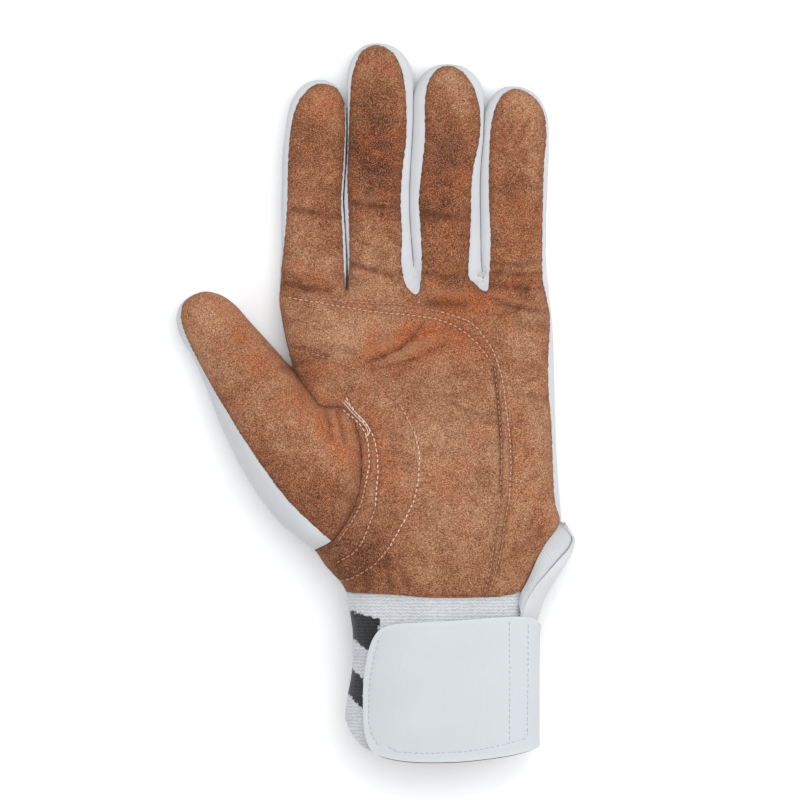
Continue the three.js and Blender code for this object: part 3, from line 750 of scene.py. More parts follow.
def new_object(name: str, mesh: bpy.types.Mesh) -> bpy.types.Object:
    """Links a mesh into the scene.

    Args:
        name: Name of the object.
        mesh: Its mesh.

    Returns:
        The object, at the origin.
    """
    made = bpy.data.objects.new(name, mesh)
    bpy.context.scene.collection.objects.link(made)
    return made


def mesh_from(bm: bmesh.types.BMesh, name: str) -> bpy.types.Mesh:
    """Writes a bmesh into a new mesh and frees it.

    Args:
        bm: The bmesh.
        name: Name of the mesh.

    Returns:
        The mesh.
    """
    mesh = bpy.data.meshes.new(name)
    bm.to_mesh(mesh)
    bm.free()
    return mesh


def apply_modifiers(piece: bpy.types.Object) -> None:
    """Puts the result of a piece's modifiers into its mesh.

    Args:
        piece: The piece.
    """
    shaped = bpy.data.meshes.new_from_object(piece.evaluated_get(bpy.context.evaluated_depsgraph_get()))
    piece.modifiers.clear()
    piece.data = shaped


def add_wall(piece: bpy.types.Object, thickness: float) -> None:
    """Gives a surface a wall that grows inwards.

    Args:
        piece: The surface.
        thickness: Thickness of the wall in millimetres.
    """
    wall = piece.modifiers.new("wall", "SOLIDIFY")
    wall.thickness = thickness * MM
    wall.offset = -1


def surface(across: int, along: int, place: Place) -> bmesh.types.BMesh:
    """Grid of faces bent into a surface, with what meets itself welded.

    Args:
        across: Faces across or around.
        along: Faces along.
        place: Gives the points in millimetres from the shares across and along.

    Returns:
        The surface.
    """
    bm = bmesh.new()
    bmesh.ops.create_grid(bm, x_segments=across, y_segments=along, size=GRID_HALF)
    share = np.array([vertex.co.xy for vertex in bm.verts]) + GRID_HALF
    for vertex, point in zip(bm.verts, place(share[:, 0], share[:, 1]) * MM):
        vertex.co = point
    bmesh.ops.remove_doubles(bm, verts=bm.verts, dist=WELD)
    return bm


def closed_up(bm: bmesh.types.BMesh) -> bmesh.types.BMesh:
    """Closes the open ends of a tube and turns its faces outwards.

    Args:
        bm: The tube.

    Returns:
        The same bmesh as a closed form.
    """
    bmesh.ops.holes_fill(bm, edges=bm.edges, sides=0)
    bmesh.ops.recalc_face_normals(bm, faces=bm.faces)
    return bm


def smooth(bm: bmesh.types.BMesh, verts: Sequence[bmesh.types.BMVert], times: int) -> None:
    """Evens out vertices of a surface.

    Args:
        bm: The surface.
        verts: The vertices.
        times: How many times each is drawn halfway to the middle of its neighbours.
    """
    for _ in range(times):
        bmesh.ops.smooth_vert(bm, verts=verts, factor=0.5, use_axis_x=True, use_axis_y=True, use_axis_z=True)


@dataclass
class Forms:
    """Closed round forms of hand, fingers and thumb."""

    hand_faces: tuple[int, int] = (140, 150)
    finger_faces: tuple[int, int] = (60, 90)
    thumb_faces: tuple[int, int] = (72, 80)
    hand_start: float = -141.6
    hand_end: float = 40.0
    palm_blur: float = 5.0
    finger_start: float = 24.0
    finger_top: float = 17.3
    finger_middle: float = 8.6
    finger_lift: float = 3.6
    finger_bottom: float = -0.7
    finger_power: float = 2.6
    form_blur: float = 0.08
    height_power: float = 0.75
    tip_power: float = 2.2
    overlap: float = 0.6
    contact: float = 0.04
    spread: float = 4.4
    crotches: tuple[float, float, float] = (39.0, 48.6, 46.4)
    spread_before: float = 6.0
    spread_run: float = 14.0
    thumb_side: float = -45.0
    thumb_blur: float = 6.0
    thumb_tip_power: float = 2.4
    thumb_tip_round: float = 0.45
    tip_length: float = 17.5
    tip_lean: float = 1.4
    dent: tuple[float, float, float, float, float] = (20.0, -10.0, 4.0, 26.0, 36.0)

    def dent_depth(self, x: Array, y: Array) -> Array:
        """Depth of the hollow of the palm."""
        middle_x, middle_y, depth, half_x, half_y = self.dent
        return depth * np.exp(-(((x - middle_x) / half_x) ** 2) - ((y - middle_y) / half_y) ** 2)

    def hand_points(self, turn: Array, y: Array, grow: float = 0.0) -> Array:
        """Points on the hand and the wrist.

        Args:
            turn: Share of the way round.
            y: Place along the hand.
            grow: Distance outwards from the form.

        Returns:
            The points in millimetres.
        """
        left, right, top, bottom, floor, power = (
            read(HAND, "y", name, y, self.palm_blur)
            for name in ("left", "right", "top", "bottom", "floor", "power")
        )
        across, up = around(turn, power)
        x = (left + right) / 2 - ((right - left) / 2 + grow) * across
        z = (top + bottom) / 2 + ((top - bottom) / 2 + grow) * up
        z -= self.dent_depth(x, y) * np.maximum(up, 0)
        return np.column_stack((x, y, np.maximum(z, floor - grow)))

    def hand(self) -> bmesh.types.BMesh:
        """Hand and wrist as one closed form.

        Returns:
            The form.
        """
        length = self.hand_end - self.hand_start

        def place(turn: Array, along: Array) -> Array:
            """Points of the hand, its rings evenly spaced."""
            return self.hand_points(turn, self.hand_start + length * along)

        return closed_up(surface(*self.hand_faces, place))

    def shifts(self, y: Array) -> Array:
        """Sideways distance that each finger is held from its place, so that no two touch.

        Args:
            y: Places along the fingers.

        Returns:
            One row of distances for each finger.
        """
        ahead = np.array([y - crotch + self.spread_before for crotch in self.crotches])
        share = np.clip(ahead / self.spread_run, 0, 1)
        room = self.spread * (share * share * (3 - 2 * share))
        middle = room[1] / 2
        return np.array((-middle - room[0], -middle, middle, middle + room[2]))

    def finger(self, index: int) -> bmesh.types.BMesh:
        """One finger as a closed form.

        Args:
            index: Which finger, counted from the index finger.

        Returns:
            The form, held apart from its neighbours.
        """
        tip_x, tip_y, shoulder = (FINGER_TIPS[name][index] for name in ("x", "y", "shoulder"))
        left_name, right_name = list(FINGER_EDGES)[index + 1 : index + 3]
        inner = (index > 0, index < 3)

        def place(turn: Array, along: Array) -> Array:
            """Points of the finger, its rings closer together towards the tip.

            Args:
                turn: Share of the way round.
                along: Share of the way to the tip.

            Returns:
                The points in millimetres.
            """
            y = self.finger_start + (tip_y - self.finger_start) * np.sin(along * math.pi / 2)
            beyond = np.clip((y - shoulder) / (tip_y - shoulder), 0, 1)
            scale = (1 - beyond**self.tip_power) ** (1 / self.tip_power)
            left = finger_edge(left_name, y) - self.overlap * inner[0]
            right = finger_edge(right_name, y) + self.overlap * inner[1]
            middle = (left + right) / 2 + (tip_x - (left + right) / 2) * (1 - scale)
            share = (y - self.hand_end) / (shoulder - self.hand_end)
            form = read(FINGER_FORM, "along", "height", share, self.form_blur)
            across, up = around(turn, self.finger_power)
            x = middle - (right - left) / 2 * scale * across
            level = self.finger_middle + self.finger_lift * scale
            rise = np.where(up > 0, self.finger_top * form - level, level - self.finger_bottom)
            z = level + rise * scale**self.height_power * up
            return np.column_stack((x + self.shifts(y)[index], y, np.maximum(z, 0)))

        return closed_up(surface(*self.finger_faces, place))

    def thumb(self) -> bmesh.types.BMesh:
        """The thumb as a closed form, rounded at its end.

        Returns:
            The form.
        """
        run = np.hypot(np.diff(THUMB["x"]), np.diff(THUMB["y"]))
        rows = {**THUMB, "run": np.concatenate(([0], np.cumsum(run)))}
        shoulder = rows["run"][-1]

        def place(turn: Array, along: Array) -> Array:
            """Points of the thumb, its rings closer together towards the tip.

            Args:
                turn: Share of the way round.
                along: Share of the way to the tip.

            Returns:
                The points in millimetres.
            """
            at = (shoulder + self.tip_length) * np.sin(along * math.pi / 2)
            beyond = np.clip((at - shoulder) / self.tip_length, 0, 1)
            scale = (1 - beyond**self.thumb_tip_power) ** self.thumb_tip_round
            x, y, left, right, top, bottom, power = (
                read(rows, "run", name, at, self.thumb_blur) for name in THUMB
            )
            back, up = around(turn, power)
            side = -np.where(back < 0, right, left) * scale * back - self.tip_lean * beyond
            z = (top + bottom) / 2 + (top - bottom) / 2 * scale**self.height_power * up
            reach = np.maximum(at - shoulder, 0)
            flat = np.column_stack((x, y)) + reach[:, None] * THUMB_ALONG + side[:, None] * THUMB_ACROSS
            return np.column_stack((flat, np.maximum(z, 0)))

        return closed_up(surface(*self.thumb_faces, place))


@dataclass
class Skin:
    """The glove's whole outer surface, before it is cut into panels."""

    forms: Forms
    voxel: float = 0.8
    smoothing: int = 8
    crotch_smoothing: int = 14
    crotch_zone: tuple[float, float] = (30.0, 47.0)
    waves: float = 0.32
    wave_length: float = 17.0
    fine_waves: tuple[float, float] = (0.5, 2.3)
    crumple_depth: float = 1.6
    crumple_length: float = 4.0
    least_crumple: float = 0.02
    fold_reach: float = 1.6
    palm_furrow: tuple[float, float] = (0.42, 1.0)
    thumb_furrow: tuple[float, float] = (0.4, 1.0)
    web_furrow: tuple[float, float] = (0.9, 1.8)
    swell: tuple[float, float] = (0.9, 3.6)
    swell_place: float = 5.5
    seam_shade_width: float = 1.6
    mesh: bpy.types.Mesh = field(init=False)

    def __post_init__(self) -> None:
        """Makes the surface."""
        self.join()
        self.draw_fingers_together()
        self.press_folds()

    def join(self) -> None:
        """Joins the forms into one smooth surface."""
        whole = bmesh.new()
        for form in (self.forms.hand(), *map(self.forms.finger, range(4)), self.forms.thumb()):
            part = mesh_from(form, "form")
            whole.from_mesh(part)
            bpy.data.meshes.remove(part)
        piece = new_object("skin", mesh_from(whole, "skin"))
        remesh = piece.modifiers.new("join", "REMESH")
        remesh.mode = "VOXEL"
        remesh.voxel_size = self.voxel * MM
        apply_modifiers(piece)
        bm = bmesh.new()
        bm.from_mesh(piece.data)
        smooth(bm, bm.verts, self.smoothing)
        start, end = (place * MM for place in self.crotch_zone)
        side = self.forms.thumb_side * MM
        crotch = [vertex for vertex in bm.verts if start < vertex.co.y < end and vertex.co.x > side]
        smooth(bm, crotch, self.crotch_smoothing)
        bm.to_mesh(piece.data)
        bm.free()
        self.mesh = piece.data
        bpy.data.objects.remove(piece)

    def draw_fingers_together(self) -> None:
        """Moves the fingers from where they were held apart to where they lie side by side."""
        points = points_of(self.mesh)
        shifts = self.forms.shifts(points[:, 1])
        lines = [finger_edge(name, points[:, 1]) for name in list(FINGER_EDGES)[2:5]]
        finger = np.zeros(len(points), int)
        for index, line in enumerate(lines):
            finger += points[:, 0] > line + (shifts[index] + shifts[index + 1]) / 2
        shift = shifts[finger, np.arange(len(points))]
        points[:, 0] -= np.where(points[:, 0] > self.forms.thumb_side, shift, 0)
        for index, (line, crotch) in enumerate(zip(lines, self.forms.crotches)):
            side = np.where(finger <= index, -1, 1)
            over = np.maximum(self.forms.contact - side * (points[:, 0] - line), 0)
            points[:, 0] += side * np.where(points[:, 1] > crotch, over, 0)
        move_points(self.mesh, points)

    def fold_depth(self, points: Array) -> Array:
        """Depth of all folds.

        Args:
            points: Places on the upper side.

        Returns:
            The depth at each place.
        """
        depth = np.zeros(len(points))
        for x1, y1, x2, y2, deep, width in zip(*FOLDS.values()):
            depth += bell(line_distance(points, np.array(((x1, y1), (x2, y2)))), deep, width)
        return depth

    def crumples(self, points: Array) -> Array:
        """Depth of the small creases of the cloth at the finger crotches.

        Args:
            points: Places on the skin.

        Returns:
            The depth at each place.
        """
        depth = np.zeros(len(points))
        for web in zip(*WEBS.values()):
            near = hollow(points, *web)
            felt = near > self.least_crumple
            folds = np.array([noise.noise(Vector(place / self.crumple_length)) for place in points[felt]])
            depth[felt] += self.crumple_depth * np.abs(folds) * near[felt]
        return depth

    def press_folds(self) -> None:
        """Gives the skin its folds, its soft unevenness and the furrows along its seams."""
        points, normals = points_of(self.mesh), normals_of(self.mesh)
        up = np.clip(normals[:, 2], 0, 1)
        folds = self.fold_depth(points) * np.clip(normals[:, 2] * self.fold_reach, 0, 1)
        thumb = THUMB_AREA.inside(points)
        palm_edge = np.where(thumb < 0, np.abs(in_palm_suede(points)), FAR)
        thumb_edge = np.where(thumb > 0, np.abs(in_thumb_suede(points)), FAR)
        furrow = bell(palm_edge, *self.palm_furrow) + bell(thumb_edge, *self.thumb_furrow)
        furrow += bell(thumb, *self.web_furrow) * up
        swell = bell(thumb - self.swell_place, *self.swell) * up
        fine_height, fine_step = self.fine_waves
        waves = np.array([
            noise.noise(Vector(place)) + fine_height * noise.noise(Vector(fine_step * place))
            for place in points / self.wave_length
        ])
        height = swell - folds - furrow + self.waves * waves * np.abs(normals[:, 2])
        height -= self.crumples(points) * up
        points += normals * height[:, None]
        points[:, 2] = np.maximum(points[:, 2], 0)
        move_points(self.mesh, points)
        # seam marks the furrows along the seams, where the materials paint shade
        seam = np.exp(-np.min((palm_edge, np.abs(thumb), thumb_edge), axis=0) / self.seam_shade_width)
        # dark holds the suede's own uneven tone together with painted light and shade
        dark, warm = suede_tone_and_painted_light(points)
        # fold also sets where the suede gets painted shade in its creases and a painted highlight on its
        # ridges
        for name, values in (("seam", seam), ("fold", np.clip(folds, -1, 1)), ("dark", dark), ("warm", warm)):
            store(self.mesh, name, values)


# Corners nearer to a cut than SNAP move onto it, in millimetres. PROBE is the step that a slope is measured
# with, and LEAST_SLOPE keeps a move short where a measure is almost flat
SNAP = 0.12
PROBE = 0.05
LEAST_SLOPE = 0.05


def keep_inside(bm: bmesh.types.BMesh, measure: Measure, margin: float) -> None:
    """Cuts a surface along the line where a measure equals a margin, and keeps what lies inside.

    Args:
        bm: Surface to cut, in metres.
        measure: How far points lie inside.
        margin: Distance inside that is the least kept.
    """
    place = bm.verts.layers.float_vector.new("place")
    values = (measure(points_of(bm)) - margin) * MM
    for vertex, value in zip(bm.verts, values):
        vertex[place] = vertex.co
        vertex.co.x = value
    geometry = bm.verts[:] + bm.edges[:] + bm.faces[:]
    bmesh.ops.bisect_plane(
        bm, geom=geometry, dist=SNAP * MM, plane_co=(0, 0, 0), plane_no=(1, 0, 0), clear_inner=True
    )
    for vertex in bm.verts:
        vertex.co = vertex[place]
    bm.verts.layers.float_vector.remove(place)
    settle_edge(bm, measure, margin)


def settle_edge(bm: bmesh.types.BMesh, measure: Measure, margin: float) -> None:
    """Slides the corners beside a new cut along the surface until they lie on it.

    Args:
        bm: Cut surface, in metres.
        measure: How far points lie inside.
        margin: Distance inside of the cut.
    """
    bm.normal_update()
    edge = {vertex for line in bm.edges if line.is_boundary for vertex in line.verts}
    edge = sorted(edge, key=lambda vertex: vertex.index)
    if not edge:
        return
    points = np.array([vertex.co for vertex in edge]) / MM
    normals = np.array([vertex.normal for vertex in edge])
    value = measure(points) - margin
    slope = np.column_stack([measure(points + PROBE * axis) - margin - value for axis in np.eye(3)]) / PROBE
    slope -= np.einsum("ij,ij->i", slope, normals)[:, None] * normals
    steep = np.einsum("ij,ij->i", slope, slope)
    near = (np.abs(value) < 2 * SNAP) & (steep > LEAST_SLOPE)
    points -= np.where(near, value / np.maximum(steep, LEAST_SLOPE), 0)[:, None] * slope
    for vertex, point in zip(edge, points * MM):
        vertex.co = point


def keep_biggest_part(bm: bmesh.types.BMesh) -> None:
    """Deletes all but the largest connected part of a surface.

    Args:
        bm: The surface.
    """
    left = set(bm.faces)
    parts = []
    while left:
        stack = [left.pop()]
        part = set(stack)
        while stack:
            for edge in stack.pop().edges:
                fresh = [face for face in edge.link_faces if face in left]
                left.difference_update(fresh)
                part.update(fresh)
                stack.extend(fresh)
        parts.append(part)
    main = max(parts, key=len)
    bmesh.ops.delete(bm, geom=[face for face in bm.faces if face not in main], context="FACES")


class Finish(Enum):
    """The glove's kinds of material."""

    SUEDE = "suede"
    PATCH = "suede_patch"
    CLOTH = "white_cloth"
    KNIT = "knit"
    RIB = "rib"
    STRAP = "strap_cloth"
    TAPE = "dark_red"
    THREAD = "thread"
    WORN_THREAD = "worn_thread"
    FADED_THREAD = "faded_thread"
    STRAP_THREAD = "strap_thread"


# Half the range of Blender's noise, and the width of one band of its wave pattern at a scale of 1
CLOUD_HALF = 0.2
WAVE_BAND = 0.314


class Recipe:
    """One material's node tree, written node by node."""

    def __init__(self, name: str) -> None:
        """Starts a material with its main shader.

        Args:
            name: Name of the material.
        """
        self.material = bpy.data.materials.new(name)
        self.material.use_nodes = True
        self.tree = self.material.node_tree
        self.shader = self.tree.nodes["Principled BSDF"]
        self.place = self.add("ShaderNodeTexCoord").outputs["Object"]

    def put(self, socket: Socket, value: object) -> None:
        """Fills a socket.

        Args:
            socket: The socket.
            value: Its value, or another node's output that it is linked to.
        """
        if isinstance(value, Socket):
            self.tree.links.new(value, socket)
        else:
            socket.default_value = value

    def add(self, kind: str, inputs: dict | None = None, **settings: object) -> bpy.types.Node:
        """Adds a node.

        Args:
            kind: Blender's name of the node type.
            inputs: Values or links by socket name or number.
            settings: The node's own properties.

        Returns:
            The node.
        """
        node = self.tree.nodes.new(kind)
        for name, value in settings.items():
            setattr(node, name, value)
        for name, value in (inputs or {}).items():
            self.put(node.inputs[name], value)
        return node

    def noise(self, scale: float, detail: float = 3, rough: float = 0.6, distort: float = 0.0) -> Socket:
        """Cloudy pattern, its scale in waves a metre."""
        values = {"Scale": scale, "Detail": detail, "Roughness": rough, "Distortion": distort}
        return self.add("ShaderNodeTexNoise", {"Vector": self.place, **values}).outputs["Fac"]

    def clouds(self, scale: float, detail: float = 3, distort: float = 0.0, contrast: float = 1.0) -> Socket:
        """Cloudy pattern that uses the whole way from 0 to 1."""
        half = CLOUD_HALF / contrast
        return self.span(self.noise(scale, detail, distort=distort), 0.5 - half, 0.5 + half)

    def math(self, kind: str, a: object, b: object = 0.0, c: object = 0.0) -> Socket:
        """Result of a sum or other operation on numbers."""
        return self.add("ShaderNodeMath", {0: a, 1: b, 2: c}, operation=kind).outputs[0]

    def total(self, *terms: tuple[object, float]) -> Socket:
        """Sum of patterns.

        Args:
            terms: Each pattern and its weight.

        Returns:
            The sum.
        """
        result = self.math("MULTIPLY", *terms[0])
        for value, weight in terms[1:]:
            result = self.math("MULTIPLY_ADD", value, weight, result)
        return result

    def span(self, value: object, low: float, high: float, start: float = 0.0, end: float = 1.0) -> Socket:
        """A value's share of the way from low to high, given as a number from start to end."""
        inputs = {"Value": value, "From Min": low, "From Max": high, "To Min": start, "To Max": end}
        return self.add("ShaderNodeMapRange", inputs).outputs["Result"]

    def ramp(self, share: object, stops: Sequence[tuple[float, Colour]]) -> Socket:
        """Colour along a row of colours.

        Args:
            share: Place along the row.
            stops: The place of each colour and the colour.

        Returns:
            The colour.
        """
        node = self.add("ShaderNodeValToRGB", {"Fac": share})
        elements = node.color_ramp.elements
        while len(elements) < len(stops):
            elements.new(0.5)
        for element, (at, colour) in zip(elements, stops):
            element.position = at
            element.color = (*colour, 1)
        return node.outputs["Color"]

    def mix(self, share: object, a: object, b: object, kind: str = "MIX") -> Socket:
        """Mixture of two colours.

        Args:
            share: Share of the second.
            a: The first colour.
            b: The second colour.
            kind: Blender's name of the way they are mixed.

        Returns:
            The mixture.
        """
        node = self.add("ShaderNodeMix", data_type="RGBA", blend_type=kind)
        for socket, value in zip([socket for socket in node.inputs if socket.enabled], (share, a, b)):
            self.put(socket, value)
        return next(socket for socket in node.outputs if socket.enabled)

    def attribute(self, name: str) -> Socket:
        """A number that the mesh holds at each point."""
        return self.add("ShaderNodeAttribute", attribute_name=name).outputs["Fac"]

    def bump(self, height: object, distance: float, strength: float = 1.0) -> None:
        """Gives the shader its small relief."""
        values = {"Height": height, "Distance": distance * MM, "Strength": strength}
        self.put(self.shader.inputs["Normal"], self.add("ShaderNodeBump", values).outputs["Normal"])

    def base(self, colour: object, rough: float, sheen: float, specular: float = 0.2) -> bpy.types.Material:
        """Finishes the material.

        Args:
            colour: Its colour.
            rough: Its roughness.
            sheen: Weight of its sheen.
            specular: Strength of its gloss.

        Returns:
            The material.
        """
        values = {
            "Base Color": colour, "Roughness": rough, "Sheen Weight": sheen, "Specular IOR Level": specular,
        }
        for name, value in values.items():
            self.put(self.shader.inputs[name], value)
        return self.material


def linear(red: int, green: int, blue: int) -> Colour:
    """Colour that the screen shows, as light."""
    shares = np.array((red, green, blue)) / 255
    return tuple(np.where(shares > 0.04045, ((shares + 0.055) / 1.055) ** 2.4, shares / 12.92))


@dataclass(frozen=True)
class Suede:
    """Mottled orange-brown suede with a short, ruffled nap."""

    name: str
    dark: Colour = linear(90, 49, 31)
    middle: Colour = linear(133, 82, 55)
    light: Colour = linear(168, 123, 94)
    warm: Colour = linear(156, 82, 46)
    speck: Colour = linear(196, 160, 134)
    # Painted shade for the suede's creases and seam furrows
    crease_shade: Colour = linear(84, 44, 27)
    tint: Colour = linear(236, 190, 156)

    def material(self) -> bpy.types.Material:
        """Builds the material.

        Returns:
            The material.
        """
        recipe = Recipe(self.name)
        cloud, stroke = recipe.clouds(32, 3, 0.8), recipe.clouds(150, 3, 1.0)
        nap, grain = recipe.clouds(1500, 2, 0.4, 1.2), recipe.clouds(2900, 1, 0.2, 1.6)
        shade, fold = recipe.attribute("dark"), recipe.attribute("fold")
        # The dark attribute holds the suede's own patches and painted light and shade, and shifts the tone
        tone = recipe.total((cloud, 0.32), (stroke, 0.34), (nap, 0.2), (0.2, 1.0), (shade, -0.42))
        colour = recipe.ramp(tone, [(0.08, self.dark), (0.5, self.middle), (0.9, self.light)])
        warmth = recipe.total(
            (recipe.attribute("warm"), 0.75), (recipe.clouds(55, 3, 1.2), 0.7), (stroke, 0.3)
        )
        colour = recipe.mix(recipe.span(warmth, 0.5, 1.3, 0.0, 0.85), colour, (*self.warm, 1))
        ruffle = recipe.total((nap, 0.3), (grain, 0.7))
        colour = recipe.mix(1.0, colour, recipe.span(ruffle, 0.0, 1.0, 0.35, 1.65), "MULTIPLY")
        colour = recipe.mix(recipe.span(grain, 0.72, 1.0, 0.0, 0.3), colour, (*self.speck, 1))
        # Painted shade darkens the folds and seam furrows, and a painted highlight lights the raised folds
        crease_shade = recipe.math("MINIMUM", recipe.total((fold, 0.95), (recipe.attribute("seam"), 0.36)), 0.72)
        colour = recipe.mix(crease_shade, colour, (*self.crease_shade, 1))
        colour = recipe.mix(recipe.math("MULTIPLY", fold, -0.8), colour, (*self.light, 1))
        recipe.bump(recipe.total((ruffle, 1.0), (stroke, 0.5)), 0.3, 0.7)
        recipe.shader.inputs["Sheen Tint"].default_value = (*self.tint, 1)
        return recipe.base(colour, 0.95, 0.2, 0.1)


@dataclass(frozen=True)
class Cloth:
    """Fine white cloth with a close weave."""

    name: str
    colour: Colour
    shade: Colour
    thread: float = 0.5
    relief: float = 0.08
    rough: float = 0.8
    sheen: float = 0.15
    seam_shade: float = 0.3

    def weave(self, recipe: Recipe) -> Socket:
        """Over and under of the threads.

        Args:
            recipe: Material that the weave is part of.

        Returns:
            How high the threads lie at each place.
        """
        values = {"Scale": WAVE_BAND / (self.thread * MM), "Distortion": 0.6, "Detail": 1.0}
        bands = [
            recipe.add("ShaderNodeTexWave", {"Vector": recipe.place, **values}, bands_direction=direction)
            for direction in "XYZ"
        ]
        return recipe.total(*((band.outputs["Fac"], 0.33) for band in bands))

    def material(self) -> bpy.types.Material:
        """Builds the material.

        Returns:
            The material.
        """
        recipe = Recipe(self.name)
        weave = self.weave(recipe)
        # seam_shade paints shade into the furrows along the seams; the strap's minus value paints them paler
        share = recipe.total(
            (recipe.clouds(45), 0.5), (weave, 0.3), (recipe.attribute("seam"), self.seam_shade)
        )
        colour = recipe.mix(share, (*self.colour, 1), (*self.shade, 1))
        recipe.bump(recipe.total((weave, 0.8), (recipe.noise(900), 0.5)), self.relief)
        return recipe.base(colour, self.rough, self.sheen)


@dataclass(frozen=True)
class Stripe:
    """Slanted black stripe: the two ends of its upper and of its lower edge."""

    upper: tuple[float, float, float, float]
    lower: tuple[float, float, float, float]
    past_end: float = 0.3
    blur: tuple[float, float] = (-0.15, 0.3)

    def below(self, recipe: Recipe, edge: Sequence[float], x: object, y: object) -> Socket:
        """How far points lie below one edge.

        Args:
            recipe: Material that the stripe is part of.
            edge: The edge's two ends.
            x: Place across, in millimetres.
            y: Place along, in millimetres.

        Returns:
            The distance.
        """
        x1, y1, x2, y2 = edge
        slope = (y2 - y1) / (x2 - x1)
        return recipe.total((x, slope), (y, -1.0), (y1 - slope * x1, 1.0))

    def inside(self, recipe: Recipe, x: object, y: object, tear: object) -> Socket:
        """Share of black, ragged at both edges.

        Args:
            recipe: Material that the stripe is part of.
            x: Place across, in millimetres.
            y: Place along, in millimetres.
            tear: How far the edge is torn at each place.

        Returns:
            The share.
        """
        top = recipe.math("ADD", self.below(recipe, self.upper, x, y), tear)
        bottom = recipe.math("SUBTRACT", tear, self.below(recipe, self.lower, x, y))
        end = recipe.math("SUBTRACT", recipe.math("ADD", tear, self.upper[2] + self.past_end), x)
        return recipe.span(recipe.math("MINIMUM", recipe.math("MINIMUM", top, bottom), end), *self.blur)


@dataclass(frozen=True)
class Knit:
    """White ribbed knit with two black stripes on the thumb side."""

    name: str
    rib: float = 1.2
    zigzag: float = 0.8
    ragged: float = 1.5
    white: Colour = linear(212, 214, 216)
    white_shade: Colour = linear(150, 154, 160)
    black: Colour = linear(6, 7, 9)
    black_fuzz: Colour = linear(56, 58, 62)
    stripes: tuple[Stripe, ...] = (
        Stripe((-9.4, -74.4, 0.9, -77.0), (-7.8, -85.2, -3.6, -88.4)),
        Stripe((-8.5, -95.2, -4.6, -98.6), (-9.7, -105.0, -5.0, -109.6)),
    )

    def material(self) -> bpy.types.Material:
        """Builds the material.

        Returns:
            The material.
        """
        recipe = Recipe(self.name)
        parts = recipe.add("ShaderNodeSeparateXYZ", {"Vector": recipe.place}).outputs
        x, y = (recipe.math("MULTIPLY", parts[name], 1 / MM) for name in "XY")
        zigzag = recipe.math("PINGPONG", x, self.zigzag)
        turn = recipe.total((y, 2 * math.pi / self.rib), (zigzag, 2.2), (recipe.noise(300, 2), 5.0))
        rib = recipe.math("MULTIPLY_ADD", recipe.math("SINE", turn), 0.5, 0.5)
        fuzz = recipe.clouds(1500, 3)
        tear = recipe.total(
            (recipe.clouds(700, 3), self.ragged), (rib, 0.3), (-0.6 * self.ragged - 0.15, 1.0)
        )
        black = recipe.math("MAXIMUM", *(stripe.inside(recipe, x, y, tear) for stripe in self.stripes))
        soft = recipe.total((rib, 0.34), (fuzz, 0.34), (recipe.clouds(700, 2), 0.2), (recipe.clouds(60), 0.2))
        white = recipe.mix(soft, (*self.white_shade, 1), (*self.white, 1))
        dark = recipe.mix(recipe.total((fuzz, 0.6), (rib, 0.4)), (*self.black, 1), (*self.black_fuzz, 1))
        recipe.bump(recipe.total((rib, 0.8), (fuzz, 0.4)), 0.2)
        return recipe.base(recipe.mix(black, white, dark), 0.9, 0.2)


@dataclass(frozen=True)
class Plain:
    """Thread or tape of one colour with a fine twist."""

    name: str
    colour: Colour
    shade: Colour

    def material(self) -> bpy.types.Material:
        """Builds the material.

        Returns:
            The material.
        """
        recipe = Recipe(self.name)
        fibre = recipe.noise(2600, 2, 0.7)
        colour = recipe.mix(recipe.span(fibre, 0.35, 0.65), (*self.colour, 1), (*self.shade, 1))
        recipe.bump(fibre, 0.08)
        return recipe.base(colour, 0.75, 0.1)


FINISHES = {
    Finish.SUEDE: Suede("suede"),
    Finish.PATCH: Suede("suede patch", middle=linear(136, 87, 61)),
    Finish.CLOTH: Cloth("white cloth", linear(197, 198, 200), linear(181, 183, 187)),
    Finish.KNIT: Knit("ribbed knit"),
    Finish.RIB: Cloth("ribbed strip", linear(194, 196, 198), linear(172, 175, 179)),
    Finish.STRAP: Cloth(
        "strap cloth", linear(190, 194, 197), linear(182, 186, 190),
        thread=0.45, relief=0.05, rough=0.65, sheen=0.1, seam_shade=-0.5,
    ),
    Finish.TAPE: Plain("dark red tape", linear(112, 40, 46), linear(84, 28, 34)),
    Finish.THREAD: Plain("pale thread", linear(222, 204, 192), linear(198, 168, 150)),
    Finish.WORN_THREAD: Plain("worn thread", linear(216, 172, 146), linear(182, 132, 104)),
    Finish.FADED_THREAD: Plain("faded thread", linear(190, 142, 116), linear(156, 108, 82)),
    Finish.STRAP_THREAD: Plain("white thread", linear(182, 188, 195), linear(156, 162, 170)),
}


@dataclass
class Dresser:
    """Gives pieces their material and their place in the frame."""

    made: dict[Finish, bpy.types.Material] = field(default_factory=dict)

    def dress(self, piece: bpy.types.Object, finish: Finish, node: str | None = None) -> bpy.types.Object:
        """Finishes a piece.

        Args:
            piece: The piece.
            finish: Its kind of material.
            node: The solid that it stands for, if any.

        Returns:
            The piece.
        """
        if finish not in self.made:
            self.made[finish] = FINISHES[finish].material()
        piece.data.materials.clear()
        piece.data.materials.append(self.made[finish])
        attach(piece, BODY)
        if node:
            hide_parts(node)
        log.info("%s: %d faces", piece.name, len(piece.data.polygons))
        return piece


